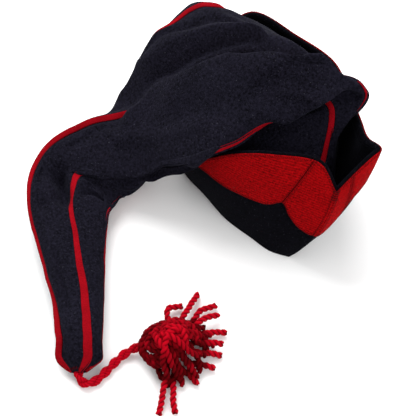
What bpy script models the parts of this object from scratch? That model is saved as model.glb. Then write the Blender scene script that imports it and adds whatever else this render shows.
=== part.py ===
"""A forage cap with a long bag, lying on a surface, in metres with +Z up.

The cap stands on the hem of its band. The bag is four gores with a narrow strip in each seam. It rises
out of the band, folds over toward -X, comes down to the surface and turns toward -Y along it. A short
cord leaves the tip and ends in a tassel. The wearer's left side is toward +X.
"""

import bpy
import numpy as np
from mathutils import Matrix

# Tangent of a cubic that makes a quarter of a round section, as a share of its radius
ROUND = 1.657

# Least tangent at a seam, which keeps ridges rounded: a share of the way to the next seam, and a length
LEAST_SHARE = 0.5
LEAST_ROUND = 0.030

# Main sizes: the head's length, the height of the fold, and the bag's length and girth laid flat, over
# which the folds' places and breadths are measured
HEAD_LENGTH = 0.229
CREST_HEIGHT = 0.164
BAG_LENGTH = 0.770
BAG_GIRTH = 0.424

# Cloth and trimming
CLOTH = 0.0020
BAND_CLOTH = 0.0040
FACING_CLOTH = 0.0013
STRIP_WIDTH = 0.0058
STRIP_RISE = 0.0006
TIP_SHARE = 0.055

# A short step along or round the bag, as a share, for directions and distances on it
NEARBY = 0.004

# How far along a seam its general direction is taken, as a share of the bag's length
RUN_SPAN = 0.045

# How many points the length round the bag is measured through
GIRTH_POINTS = 33

# Fits
GAP = 0.0003
FACING_GAP = 0.0005
LINING_INSET = 0.0078
MOUTH_LIFT = 0.0018
REST_GAP = 0.0002
RIM_LEFT_BARE = 0.012

# Cord and tassel
CORD_RADIUS = 0.0045
CORD_POINTS = 16
CORD_BEVEL = 2
YARN_RADIUS = 0.0031
NECK_LENGTH = 0.009

# The mesh of the tassel's head, and how far its lobes stand out as a share of its half size
HEAD_RINGS = 9
HEAD_SIDES = 16
HEAD_LOBES = 5
LOBE_DEPTH = 0.05

# The mesh of a lock of yarn, and its thickness along it in yarn radii
LOCK_SIDES = 8
LOCK_TAPER = (1.15, 1.1, 1.05, 1.0, 1.0, 0.85)

# Edges that bend more than this, in radians, are shown sharp, and how matt the cloth and yarn are
SHARP = 0.9
MATT = 0.9

# How the band leans: its middle at the rim, across and away, as shares of the head length
LEAN = (0.095, -0.025)

# The bag lines the band from the hem up to this share of the bag's length
LINED = 0.16

# The four seams of the bag. Each row: along the bag (0 hem, 1 tip), then across (+X) and away (+Y)
# from the middle of the hem as shares of the head length, and up as a share of the crest height.
SEAM_FRONT = (
    (0.000, 0.150, -0.415, 0.01),
    (0.070, 0.220, -0.325, 0.31),
    (0.130, 0.310, -0.215, 0.54),
    (0.180, 0.335, -0.120, 0.76),
    (0.210, 0.290, -0.075, 0.76),
    (0.245, 0.200, -0.100, 0.74),
    (0.285, 0.085, -0.170, 0.73),
    (0.330, -0.050, -0.245, 0.65),
    (0.380, -0.175, -0.250, 0.56),
    (0.430, -0.275, -0.215, 0.45),
    (0.480, -0.375, -0.175, 0.34),
    (0.540, -0.510, -0.150, 0.23),
    (0.600, -0.610, -0.170, 0.22),
    (0.670, -0.710, -0.165, 0.23),
    (0.730, -0.730, -0.290, 0.22),
    (0.800, -0.695, -0.485, 0.22),
    (0.870, -0.655, -0.725, 0.21),
    (0.940, -0.635, -0.900, 0.19),
    (0.975, -0.640, -0.980, 0.15),
    (0.992, -0.652, -1.012, 0.12),
    (1.000, -0.667, -1.037, 0.087),
)
SEAM_LEFT = (
    (0.000, 0.310, 0.095, 0.01),
    (0.070, 0.385, 0.025, 0.32),
    (0.130, 0.372, -0.100, 0.61),
    (0.180, 0.465, -0.095, 0.85),
    (0.220, 0.360, -0.060, 0.97),
    (0.270, 0.190, 0.000, 1.00),
    (0.310, 0.065, 0.050, 0.95),
    (0.360, -0.095, 0.095, 0.84),
    (0.410, -0.215, 0.100, 0.73),
    (0.460, -0.350, 0.110, 0.56),
    (0.530, -0.510, 0.105, 0.37),
    (0.600, -0.685, 0.085, 0.30),
    (0.670, -0.860, -0.030, 0.24),
    (0.730, -0.925, -0.220, 0.19),
    (0.800, -0.875, -0.450, 0.16),
    (0.870, -0.790, -0.705, 0.13),
    (0.940, -0.750, -0.910, 0.12),
    (0.975, -0.740, -0.970, 0.09),
    (0.992, -0.710, -1.008, 0.07),
    (1.000, -0.689, -1.030, 0.058),
)
SEAM_BACK = (
    (0.000, -0.120, 0.450, 0.01),
    (0.070, -0.065, 0.430, 0.32),
    (0.130, -0.020, 0.390, 0.57),
    (0.180, -0.045, 0.370, 0.67),
    (0.230, -0.085, 0.395, 0.74),
    (0.285, -0.150, 0.440, 0.79),
    (0.335, -0.225, 0.470, 0.75),
    (0.385, -0.308, 0.445, 0.66),
    (0.430, -0.380, 0.385, 0.56),
    (0.475, -0.445, 0.300, 0.43),
    (0.535, -0.510, 0.205, 0.24),
    (0.600, -0.600, 0.100, 0.08),
    (0.670, -0.720, -0.045, 0.03),
    (0.730, -0.750, -0.280, 0.02),
    (0.800, -0.720, -0.485, 0.01),
    (0.870, -0.675, -0.720, 0.01),
    (0.940, -0.655, -0.905, 0.01),
    (0.975, -0.665, -0.975, 0.02),
    (0.992, -0.665, -1.006, 0.02),
    (1.000, -0.667, -1.023, 0.028),
)
SEAM_RIGHT = (
    (0.000, -0.270, 0.065, 0.01),
    (0.070, -0.255, 0.065, 0.26),
    (0.130, -0.240, 0.065, 0.39),
    (0.180, -0.250, 0.065, 0.48),
    (0.240, -0.275, 0.060, 0.51),
    (0.310, -0.295, 0.050, 0.49),
    (0.380, -0.310, 0.042, 0.45),
    (0.440, -0.325, 0.030, 0.40),
    (0.480, -0.345, 0.005, 0.34),
    (0.520, -0.375, -0.045, 0.26),
    (0.560, -0.425, -0.110, 0.16),
    (0.600, -0.485, -0.165, 0.09),
    (0.640, -0.545, -0.220, 0.08),
    (0.670, -0.580, -0.285, 0.09),
    (0.730, -0.590, -0.380, 0.10),
    (0.800, -0.590, -0.520, 0.11),
    (0.870, -0.580, -0.715, 0.10),
    (0.940, -0.575, -0.905, 0.09),
    (0.975, -0.588, -0.970, 0.07),
    (0.992, -0.620, -1.005, 0.06),
    (1.000, -0.645, -1.030, 0.058),
)

# How full the cloth stands between seams, 1 for a round section: along the bag, the gore between the
# front and left seams, the gore between the left and back seams where it leaves the left seam and where
# it meets the back seam, and the gore between the right and front seams.
FULLNESS = (
    (0.00, 1.0, 1.0, 1.0, 1.0),
    (0.13, 1.0, 0.9, 1.0, 0.8),
    (0.18, 1.2, 0.6, 1.0, 0.5),
    (0.22, 1.2, 0.4, 1.0, 0.4),
    (0.27, 1.1, 0.3, 1.0, 0.5),
    (0.31, 1.0, 0.3, 1.0, 0.7),
    (0.36, 1.1, 0.4, 1.0, 1.0),
    (0.41, 1.1, 0.7, 1.0, 1.0),
    (0.46, 1.1, 0.9, 1.0, 1.0),
    (0.53, 1.0, 1.0, 1.0, 1.0),
    (1.00, 1.0, 1.0, 1.0, 1.0),
)

# Folds and dents, each along a line: from along, around (0 front, 0.25 left, 0.5 back, 0.75 right), to
# along, around, the breadth, and the push across, away and up, as shares of the head length.
FOLDS = (
    (0.260, 0.045, 0.222, 0.125, 0.080, 0.000, -0.064, -0.026),
    (0.200, 0.040, 0.190, 0.120, 0.060, -0.010, 0.035, 0.000),
    (0.300, 0.215, 0.450, 0.215, 0.065, 0.000, -0.023, 0.028),
    (0.280, 0.285, 0.430, 0.290, 0.060, 0.000, -0.014, -0.032),
    (0.230, 0.340, 0.460, 0.365, 0.075, -0.005, 0.010, 0.028),
    (0.210, 0.405, 0.260, 0.405, 0.110, 0.000, -0.018, -0.050),
    (0.430, 0.390, 0.520, 0.350, 0.110, -0.042, 0.037, 0.018),
    (0.440, 0.880, 0.560, 0.860, 0.120, 0.000, -0.042, -0.018),
    (0.400, 0.905, 0.500, 0.885, 0.105, 0.000, -0.050, -0.020),
)

# The band. Each row: turn round the hem (0 front crease, 0.5 back), hem across and away, rim across and
# away as shares of the head length, rim up as a share of the crest height, and the swell half way up.
BAND_EDGES = (
    (0.000, 0.175, -0.475, 0.340, -0.450, 0.625, 0.046),
    (0.030, 0.220, -0.425, 0.405, -0.400, 0.690, 0.055),
    (0.060, 0.255, -0.380, 0.470, -0.350, 0.740, 0.055),
    (0.085, 0.280, -0.325, 0.510, -0.320, 0.760, 0.042),
    (0.130, 0.305, -0.230, 0.470, -0.250, 0.735, 0.023),
    (0.200, 0.335, -0.070, 0.450, -0.130, 0.690, 0.023),
    (0.280, 0.340, 0.115, 0.405, 0.035, 0.710, 0.023),
    (0.360, 0.280, 0.285, 0.345, 0.180, 0.720, 0.023),
    (0.430, 0.130, 0.415, 0.215, 0.305, 0.720, 0.023),
    (0.500, -0.075, 0.490, 0.035, 0.440, 0.730, 0.014),
    (0.580, -0.195, 0.405, -0.130, 0.390, 0.560, 0.014),
    (0.670, -0.270, 0.255, -0.250, 0.260, 0.440, 0.014),
    (0.750, -0.295, 0.085, -0.295, 0.075, 0.400, 0.014),
    (0.820, -0.265, -0.040, -0.265, -0.065, 0.400, 0.014),
    (0.880, -0.175, -0.160, -0.175, -0.185, 0.440, 0.014),
    (0.920, -0.080, -0.290, -0.050, -0.260, 0.620, 0.018),
    (0.950, 0.020, -0.380, 0.100, -0.322, 0.725, 0.028),
    (0.975, 0.095, -0.445, 0.270, -0.365, 0.735, 0.037),
    (1.000, 0.175, -0.475, 0.340, -0.450, 0.625, 0.046),
)

# Lower edge of the facing: turn round the hem, share of the band's height there
FACING_EDGE = (
    (0.000, 0.465),
    (0.006, 0.430),
    (0.012, 0.415),
    (0.020, 0.415),
    (0.030, 0.470),
    (0.038, 0.565),
    (0.044, 0.520),
    (0.060, 0.500),
    (0.090, 0.480),
    (0.200, 0.450),
    (0.350, 0.450),
    (0.470, 0.490),
    (0.500, 0.560),
    (0.530, 0.520),
    (0.650, 0.620),
    (0.800, 0.720),
    (0.876, 0.750),
    (0.890, 0.680),
    (0.902, 0.600),
    (0.917, 0.535),
    (0.929, 0.515),
    (0.940, 0.500),
    (0.956, 0.520),
    (0.962, 0.565),
    (0.970, 0.470),
    (0.980, 0.415),
    (0.988, 0.415),
    (0.994, 0.430),
    (1.000, 0.465),
)

# The facing's pieces: name, first turn, last turn
FACING_PIECES = (
    ("facing_front_left", 0.000, 0.038),
    ("facing_side_left", 0.038, 0.500),
    ("facing_side_right", 0.500, 0.962),
    ("facing_front_right", 0.962, 1.000),
)

# Seams of the facing that slant: turn at the lower edge, turns that they gain from the slant's foot up to
# the rim. The slant fades out over a stretch on both sides.
FACING_SLANTS = (
    (0.038, -0.010),
    (0.962, 0.010),
)
SLANT_FOOT = 0.56
SLANT_SPAN = 0.028

# The gores: name, first share round the bag, last share round the bag, cells of its mesh between them
GORES = (
    ("gore_front_left", 0.00, 0.25, 10),
    ("gore_back_left", 0.25, 0.50, 7),
    ("gore_back_right", 0.50, 0.75, 6),
    ("gore_front_right", 0.75, 1.00, 6),
)

# The strips in the seams: name, share round the bag
STRIPS = (
    ("strip_front", 0.00),
    ("strip_left", 0.25),
    ("strip_back", 0.50),
    ("strip_right", 0.75),
)

# Where the rows of the bag's mesh lie: close together where the bag folds over and at its tip
BAG_ROWS = (
    0.000, 0.035, 0.070, 0.100, 0.130, 0.155, 0.170, 0.182, 0.192, 0.202, 0.212, 0.222, 0.232, 0.242,
    0.252, 0.264, 0.278, 0.294, 0.312, 0.332, 0.354, 0.376, 0.400, 0.424, 0.450, 0.478, 0.508, 0.540,
    0.572, 0.604, 0.636, 0.664, 0.690, 0.716, 0.750, 0.795, 0.850, 0.900, 0.940, 0.965, 0.986, 1.000,
)
BAND_TURNS = (
    0.000, 0.010, 0.020, 0.030, 0.038, 0.050, 0.070, 0.090, 0.120, 0.150, 0.180, 0.210, 0.240, 0.270,
    0.300, 0.330, 0.360, 0.390, 0.420, 0.450, 0.475, 0.500, 0.530, 0.560, 0.595, 0.630, 0.665, 0.700,
    0.735, 0.770, 0.800, 0.830, 0.855, 0.877, 0.900, 0.918, 0.930, 0.940, 0.955, 0.962, 0.970, 0.980,
    0.990, 1.000,
)
BAND_LEVELS = (0.00, 0.14, 0.28, 0.42, 0.56, 0.70, 0.85, 1.00)

# Rows of the facing's mesh that follow the band's: level, and where its lower edge comes high, the least
# share of the way from there to the last of these levels
FACING_LEVELS = (
    (0.56, 0.12),
    (0.70, 0.45),
    (0.85, 1.00),
)

# The cord's route: across and away as shares of the head length, height in cord radii
CORD_ROUTE = (
    (-0.6670, -1.0322, 2.07),
    (-0.6668, -1.0400, 1.94),
    (-0.6650, -1.0480, 1.76),
    (-0.6615, -1.0560, 1.52),
    (-0.6555, -1.0630, 1.28),
    (-0.6465, -1.0685, 1.12),
    (-0.6350, -1.0715, 1.06),
    (-0.6230, -1.0705, 1.05),
    (-0.6110, -1.0660, 1.05),
    (-0.5980, -1.0570, 1.05),
    (-0.5850, -1.0450, 1.05),
    (-0.5720, -1.0310, 1.05),
    (-0.5590, -1.0160, 1.05),
    (-0.5460, -1.0000, 1.05),
    (-0.5330, -0.9840, 1.05),
    (-0.5190, -0.9680, 1.05),
    (-0.5040, -0.9530, 1.08),
    (-0.4870, -0.9400, 1.20),
    (-0.4690, -0.9300, 1.42),
    (-0.4510, -0.9230, 1.70),
    (-0.4335, -0.9190, 1.95),
)

# The tassel's middle, across and away, and its head's half sizes across, away and up
TASSEL_MIDDLE = (-0.305, -0.925)
TASSEL_HEAD = (0.122, 0.112, 0.075)

# The tassel's locks: start across and away, bend across and away, end across and away, from the middle of
# the hem as shares of the head length, then the heights of start and end in yarn radii
TASSEL_LOCKS = (
    (-0.350, -0.850, -0.352, -0.735, -0.305, -0.715, 4.0, 1.2),
    (-0.300, -0.850, -0.245, -0.755, -0.205, -0.665, 4.5, 1.6),
    (-0.270, -0.860, -0.200, -0.765, -0.130, -0.720, 3.5, 1.3),
    (-0.250, -0.870, -0.190, -0.810, -0.120, -0.775, 5.0, 2.6),
    (-0.230, -0.885, -0.165, -0.850, -0.085, -0.850, 4.0, 1.3),
    (-0.230, -0.915, -0.165, -0.905, -0.100, -0.905, 5.0, 2.2),
    (-0.235, -0.945, -0.170, -0.950, -0.110, -0.950, 3.5, 1.3),
    (-0.250, -0.985, -0.190, -1.000, -0.135, -1.010, 4.0, 1.2),
    (-0.275, -1.010, -0.240, -1.040, -0.200, -1.065, 3.5, 1.2),
    (-0.325, -1.000, -0.335, -1.110, -0.345, -1.195, 4.0, 1.2),
    (-0.300, -1.000, -0.295, -1.110, -0.288, -1.190, 3.0, 1.1),
    (-0.365, -0.990, -0.335, -1.050, -0.275, -1.045, 2.5, 1.2),
)

BLACK_CLOTH = (0.012, 0.012, 0.022, 1.0)
RED_CLOTH = (0.390, 0.010, 0.022, 1.0)
RED_YARN = (0.430, 0.008, 0.016, 1.0)


def hermite(start, end, leave, arrive, t):
    """A cubic between two points with the given tangents."""
    rise = t * t * (3 - 2 * t)
    early = t * (1 - t) ** 2
    late = t * t * (t - 1)
    return start * (1 - rise) + end * rise + leave * early + arrive * late


def smooth(rows, at):
    """Values on the smooth curve through the rows, whose first column is the position."""
    table = np.array(rows)
    place = table[:, 0]
    value = table[:, 1:]
    step = np.diff(place)
    slope = np.diff(value, axis=0) / step[:, None]
    tangent = np.vstack([slope[:1], slope])
    before = step[:-1, None]
    after = step[1:, None]
    tangent[1:-1] = (slope[:-1] * after + slope[1:] * before) / (before + after)
    at = np.clip(at, place[0], place[-1])
    i = np.clip(np.searchsorted(place, at, side="right") - 1, 0, len(step) - 1)
    t = ((at - place[i]) / step[i])[:, None]
    span = step[i][:, None]
    return hermite(value[i], value[i + 1], tangent[i] * span, tangent[i + 1] * span, t)


def unit(vectors):
    return vectors / np.maximum(np.linalg.norm(vectors, axis=-1, keepdims=True), 1e-12)


def square_to(run, vectors):
    """The directions of the vectors once the part along the run is taken out."""
    return unit(vectors - run * np.sum(vectors * run, axis=-1, keepdims=True))


def band_face(turn, level):
    """Points on the outer face of the band, and the level directions away from its middle."""
    row = smooth(BAND_EDGES, turn)
    hem = np.column_stack([row[:, 0:2] * HEAD_LENGTH, np.zeros(len(row))])
    rim = np.column_stack([row[:, 2:4] * HEAD_LENGTH, row[:, 4] * CREST_HEIGHT])
    level = level[:, None]
    point = hem + (rim - hem) * level
    middle = np.array([LEAN[0], LEAN[1], 0.0]) * HEAD_LENGTH * level
    ray = point - middle
    ray[:, 2] = 0
    ray = unit(ray)
    swell = row[:, 5:6] * HEAD_LENGTH * 4 * level * (1 - level)
    return point + ray * swell, ray


def seam_points(along):
    """The four seams at each place along the bag: places, seams, coordinates."""
    size = np.array([HEAD_LENGTH, HEAD_LENGTH, CREST_HEIGHT])
    seams = (SEAM_FRONT, SEAM_LEFT, SEAM_BACK, SEAM_RIGHT)
    return np.stack([smooth(seam, along) * size for seam in seams], axis=1)


def girdle(along, around):
    """Points on the closed smooth sections through the four seams."""
    seams = seam_points(along)
    farther = seam_points(np.minimum(along + RUN_SPAN, 1))
    run = unit(farther - seam_points(np.maximum(along - RUN_SPAN, 0)))
    onward = square_to(run, np.roll(seams, -1, axis=1) - seams)
    behind = square_to(run, seams - np.roll(seams, 1, axis=1))
    ahead = unit(onward + behind)
    stand = smooth(FULLNESS, along)
    even = np.ones(len(along))
    leaving = np.column_stack([stand[:, 0], stand[:, 1], even, stand[:, 3]])
    arriving = np.column_stack([stand[:, 0], stand[:, 2], even, stand[:, 3]])
    quarter = np.floor(around * 4).astype(int)
    t = (around * 4 - quarter)[:, None]
    first = quarter % 4
    second = (quarter + 1) % 4
    each = np.arange(len(along))
    start = seams[each, first]
    end = seams[each, second]
    leave = ahead[each, first]
    arrive = ahead[each, second]
    chord = end - start
    least = np.minimum(LEAST_SHARE * np.linalg.norm(chord, axis=1, keepdims=True), LEAST_ROUND)
    leave = leave * np.maximum(ROUND * np.sum(chord * leave, axis=1, keepdims=True), least)
    arrive = arrive * np.maximum(ROUND * np.sum(chord * arrive, axis=1, keepdims=True), least)
    leave = leave * leaving[each, first][:, None]
    arrive = arrive * arriving[each, first][:, None]
    return hermite(start, end, leave, arrive, t)


def fold_push(along, around):
    """How far the folds move each point of the bag."""
    push = np.zeros((len(along), 3))
    for first, first_turn, last, last_turn, breadth, across, away, up in FOLDS:
        start = np.array([first * BAG_LENGTH, first_turn * BAG_GIRTH])
        line = np.array([last * BAG_LENGTH, last_turn * BAG_GIRTH]) - start
        nearest = np.full(len(along), np.inf)
        for lap in (-1, 0, 1):
            place = np.column_stack([along * BAG_LENGTH, (around + lap) * BAG_GIRTH]) - start
            share = np.clip(place @ line / (line @ line), 0, 1)
            apart = place - share[:, None] * line
            nearest = np.minimum(nearest, np.sum(apart * apart, axis=1))
        weight = np.exp(-nearest / (breadth * HEAD_LENGTH) ** 2)
        push += weight[:, None] * np.array([across, away, up]) * HEAD_LENGTH
    return push


def bag_face(along, around):
    """Points on the outer face of the bag."""
    point = girdle(along, around)
    level = np.minimum(along / LINED, 1)
    lining, ray = band_face(np.mod(around, 1), level)
    lining = lining - ray * LINING_INSET
    lining[:, 2] += MOUTH_LIFT * (1 - level)
    leave = (level * level * (3 - 2 * level))[:, None]
    point = lining * (1 - leave) + point * leave
    point = point + fold_push(along, around)
    point[:, 2] = np.maximum(point[:, 2], STRIP_RISE + REST_GAP)
    return point


def bag_run(along, around):
    """Directions toward the tip on the bag's outer face."""
    ahead = np.minimum(along + 2 * NEARBY, 1)
    behind = np.maximum(along - 2 * NEARBY, 0)
    return unit(bag_face(ahead, around) - bag_face(behind, around))


def bag_outward(along, around):
    """Directions out of the bag's outer face."""
    crosswise = bag_face(along, around + 3 * NEARBY) - bag_face(along, around - 3 * NEARBY)
    return unit(np.cross(crosswise, bag_run(along, around)))


def lattice(function, rows, columns, *more):
    """A function of two flat arrays, on a grid."""
    values = function(rows.ravel(), columns.ravel(), *more)
    return values.reshape(rows.shape + (3,))


def solid(name, outer, inner, colour, ring=False):
    """A closed cloth piece between two grids of points. A ring joins its last column to its first."""
    rows, columns = outer.shape[:2]
    points = np.concatenate([outer.reshape(-1, 3), inner.reshape(-1, 3)])
    under = rows * columns
    faces = []
    cells = columns if ring else columns - 1
    for i in range(rows - 1):
        for j in range(cells):
            a = i * columns + j
            b = i * columns + (j + 1) % columns
            c = b + columns
            d = a + columns
            faces.append((a, b, c))
            faces.append((a, c, d))
            faces.append((c + under, b + under, a + under))
            faces.append((d + under, c + under, a + under))
    for j in range(cells):
        a = j
        b = (j + 1) % columns
        c = a + (rows - 1) * columns
        d = b + (rows - 1) * columns
        faces.append((b, a, a + under, b + under))
        faces.append((c, d, d + under, c + under))
    if not ring:
        for i in range(rows - 1):
            a = i * columns
            b = a + columns
            c = a + columns - 1
            d = c + columns
            faces.append((a, b, b + under))
            faces.append((a, b + under, a + under))
            faces.append((d, c, d + under))
            faces.append((c, c + under, d + under))
    return piece(name, points, faces, colour)


def piece(name, points, faces, colour):
    """A mesh object with its own material."""
    mesh = bpy.data.meshes.new(name)
    mesh.from_pydata([tuple(point) for point in points], [], faces)
    mesh.validate()
    mesh.shade_smooth()
    mesh.set_sharp_from_angle(angle=SHARP)
    mesh.materials.append(material(name, colour))
    thing = bpy.data.objects.new(name, mesh)
    bpy.context.scene.collection.objects.link(thing)
    return thing


def material(name, colour):
    made = bpy.data.materials.new(name)
    made.use_nodes = True
    shader = made.node_tree.nodes["Principled BSDF"]
    shader.inputs["Base Color"].default_value = colour
    shader.inputs["Roughness"].default_value = MATT
    shader.inputs["Metallic"].default_value = 0.0
    return made


def ring_girth(along):
    """How far it is round the bag at each place along it."""
    turns = np.linspace(0, 1, GIRTH_POINTS)
    rows = np.repeat(along[:, None], len(turns), axis=1)
    ring = lattice(bag_face, rows, np.repeat(turns[None, :], len(along), axis=0))
    return np.sum(np.linalg.norm(np.diff(ring, axis=1), axis=2), axis=1)


def seam_frame(along, seam):
    """A seam's points, its directions square to it toward the next gore, and its ways out."""
    around = np.full(len(along), seam)
    outward = bag_outward(along, around)
    return bag_face(along, around), unit(np.cross(bag_run(along, around), outward)), outward


def strip_half(along):
    """Half the width of a strip, which narrows where the bag comes to its tip."""
    return np.minimum(STRIP_WIDTH / 2, TIP_SHARE * ring_girth(along))


def make_gore(name, first, last, cells):
    """A tapered panel between two seams, its edges beside the strips."""
    along = np.array(BAG_ROWS)
    reach = strip_half(along) + GAP
    share = reach / ring_girth(along)
    start = first + share
    end = last - share
    around = start[:, None] + (end - start)[:, None] * np.linspace(0, 1, cells + 1)
    rows = np.repeat(along[:, None], cells + 1, axis=1)
    outer = lattice(bag_face, rows, around)
    outward = lattice(bag_outward, rows, around)
    for column, seam, side in ((0, first, 1), (-1, last, -1)):
        point, toward, out = seam_frame(along, seam)
        outer[:, column] = point + toward * (side * reach)[:, None]
        outward[:, column] = out
    solid(name, outer, outer - outward * CLOTH, BLACK_CLOTH)


def make_strip(name, seam):
    """A narrow strip along a seam, standing slightly proud of the gores on both sides."""
    along = np.array(BAG_ROWS)
    point, toward, out = seam_frame(along, seam)
    half = strip_half(along)[:, None]
    face = np.stack([point - toward * half, point, point + toward * half], axis=1)
    outward = np.repeat(out[:, None], 3, axis=1)
    solid(name, face + outward * STRIP_RISE, face - outward * CLOTH, RED_CLOTH)


def slanted(turns, levels):
    """Turns round the band of the columns of its mesh, which follow the facing's slanted seams."""
    lift = np.maximum(levels - SLANT_FOOT, 0) / (1 - SLANT_FOOT)
    for seam, gain in FACING_SLANTS:
        turns = turns + gain * lift * np.clip(1 - np.abs(turns - seam) / SLANT_SPAN, 0, 1)
    return turns


def band_grid(turns, levels):
    """Points of the band's outer face and its outward directions, closed round the hem."""
    rows = np.repeat(levels[:, None], len(turns), axis=1)
    columns = slanted(np.repeat(turns[None, :], len(levels), axis=0), rows)
    points = band_face(columns.ravel(), rows.ravel())[0].reshape(rows.shape + (3,))
    sideways = np.roll(points, -1, axis=1) - np.roll(points, 1, axis=1)
    upward = np.gradient(points, axis=0)
    return points, unit(np.cross(sideways, upward))


def make_band():
    turns = np.array(BAND_TURNS[:-1])
    levels = np.array(BAND_LEVELS)
    points, outward = band_grid(turns, levels)
    inner = points - outward * BAND_CLOTH
    inner[0, :, 2] = 0
    points[0, :, 2] = 0
    solid("band", points, inner, BLACK_CLOTH, ring=True)


def band_facets(turns, levels):
    """Points and outward directions on the flat facets of the band's mesh."""
    grid, outward = band_grid(np.array(BAND_TURNS[:-1]), np.array(BAND_LEVELS))
    grid = np.concatenate([grid, grid[:, :1]], axis=1)
    outward = np.concatenate([outward, outward[:, :1]], axis=1)
    column = np.clip(np.searchsorted(BAND_TURNS, turns, side="right") - 1, 0, len(BAND_TURNS) - 2)
    width = np.diff(BAND_TURNS)[column]
    s = ((turns - np.array(BAND_TURNS)[column]) / width)[:, None]
    row = np.clip(np.searchsorted(BAND_LEVELS, levels, side="right") - 1, 0, len(BAND_LEVELS) - 2)
    height = np.diff(BAND_LEVELS)[row]
    t = ((levels - np.array(BAND_LEVELS)[row]) / height)[:, None]
    found = []
    for values in (grid, outward):
        a = values[row, column]
        b = values[row, column + 1]
        c = values[row + 1, column + 1]
        d = values[row + 1, column]
        lower = a + (b - a) * s + (c - b) * t
        upper = a + (d - a) * t + (c - d) * s
        found.append(np.where(t <= s, lower, upper))
    return found[0], unit(found[1])


def turn_share(turns, levels, distance):
    """How much of a turn a distance round the band is at each place."""
    ahead = band_face(np.mod(turns + NEARBY, 1), levels)[0]
    behind = band_face(np.mod(turns - NEARBY, 1), levels)[0]
    return distance * 2 * NEARBY / np.linalg.norm(ahead - behind, axis=1)


def make_facing(name, first, last):
    """A piece of facing on the outer face of the band, from its shaped lower edge up to the rim."""
    columns = np.array([turn for turn in BAND_TURNS if first <= turn <= last])
    low = smooth(FACING_EDGE, columns)[:, 0]
    rows = [low]
    for level, least in FACING_LEVELS:
        rows.append(np.maximum(level, low + (FACING_LEVELS[-1][0] - low) * least))
    rows.append(np.full(len(columns), 1 - RIM_LEFT_BARE))
    levels = np.array(rows)
    turns = np.repeat(columns[None, :], len(levels), axis=0)
    turns[:, 0] += turn_share(turns[:, 0], levels[:, 0], GAP / 2)
    turns[:, -1] -= turn_share(turns[:, -1], levels[:, -1], GAP / 2)
    point, outward = band_facets(turns.ravel(), levels.ravel())
    inner = (point + outward * FACING_GAP).reshape(levels.shape + (3,))
    outer = (point + outward * (FACING_GAP + FACING_CLOTH)).reshape(levels.shape + (3,))
    solid(name, outer, inner, RED_CLOTH)


def cord_curve(name, points, radius, colour):
    """A round cord through the points, with closed ends."""
    curve = bpy.data.curves.new(name, "CURVE")
    curve.dimensions = "3D"
    curve.bevel_depth = radius
    curve.bevel_resolution = CORD_BEVEL
    curve.use_fill_caps = True
    spline = curve.splines.new("POLY")
    spline.points.add(len(points) - 1)
    for target, point in zip(spline.points, points):
        target.co = (*point, 1.0)
    curve.materials.append(material(name, colour))
    thing = bpy.data.objects.new(name, curve)
    bpy.context.scene.collection.objects.link(thing)
    return thing


def cord_points():
    """The cord's points, read from the smooth curve through its route."""
    route = np.array(CORD_ROUTE) * np.array([HEAD_LENGTH, HEAD_LENGTH, CORD_RADIUS])
    reach = np.concatenate([[0], np.cumsum(np.linalg.norm(np.diff(route, axis=0), axis=1))])
    rows = np.column_stack([reach, route])
    return smooth(rows, np.linspace(0, reach[-1], CORD_POINTS))


def tube(points, radius, sides):
    """A closed round length along the points: its points and its faces."""
    along = unit(np.gradient(points, axis=0))
    side = unit(np.cross(along, np.array([0.0, 0.0, 1.0])))
    over = np.cross(side, along)
    angle = np.arange(sides) * 2 * np.pi / sides
    ring = side[:, None] * np.cos(angle)[:, None] + over[:, None] * np.sin(angle)[:, None]
    skin = (points[:, None] + ring * radius[:, None, None]).reshape(-1, 3)
    faces = []
    for i in range(len(points) - 1):
        for j in range(sides):
            a = i * sides + j
            b = i * sides + (j + 1) % sides
            faces.append((a, a + sides, b + sides, b))
    faces.append(tuple(range(sides)))
    faces.append(tuple(reversed(range((len(points) - 1) * sides, len(points) * sides))))
    return skin, faces


def tassel_head():
    """The tassel's head, a lobed ball that rests on the surface: its points and its faces."""
    middle = np.array([TASSEL_MIDDLE[0] * HEAD_LENGTH, TASSEL_MIDDLE[1] * HEAD_LENGTH, REST_GAP])
    half = np.array(TASSEL_HEAD) * HEAD_LENGTH
    angle = np.arange(HEAD_SIDES) * 2 * np.pi / HEAD_SIDES
    points = []
    for i in range(1, HEAD_RINGS):
        slope = np.pi * i / HEAD_RINGS
        reach = np.sin(slope) * (1 + LOBE_DEPTH * np.cos(HEAD_LOBES * angle) * np.sin(slope))
        height = 1 - np.cos(slope) / np.cos(np.pi / HEAD_RINGS)
        ring = np.column_stack([np.cos(angle) * reach, np.sin(angle) * reach, np.full(HEAD_SIDES, height)])
        points.extend(middle + half * ring)
    faces = []
    for i in range(HEAD_RINGS - 2):
        for j in range(HEAD_SIDES):
            a = i * HEAD_SIDES + j
            b = i * HEAD_SIDES + (j + 1) % HEAD_SIDES
            faces.append((a, b, b + HEAD_SIDES, a + HEAD_SIDES))
    top = (HEAD_RINGS - 2) * HEAD_SIDES
    faces.append(tuple(reversed(range(HEAD_SIDES))))
    faces.append(tuple(range(top, top + HEAD_SIDES)))
    return points, faces


def make_lock(number, points, radius, locks):
    """A lock of yarn, kept in the collection that is joined to the tassel's head."""
    skin, walls = tube(points, radius, LOCK_SIDES)
    lock = piece(f"lock_{number}", skin, walls, RED_YARN)
    bpy.context.scene.collection.objects.unlink(lock)
    locks.objects.link(lock)
    lock.hide_render = True
    lock.display_type = "WIRE"


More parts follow.
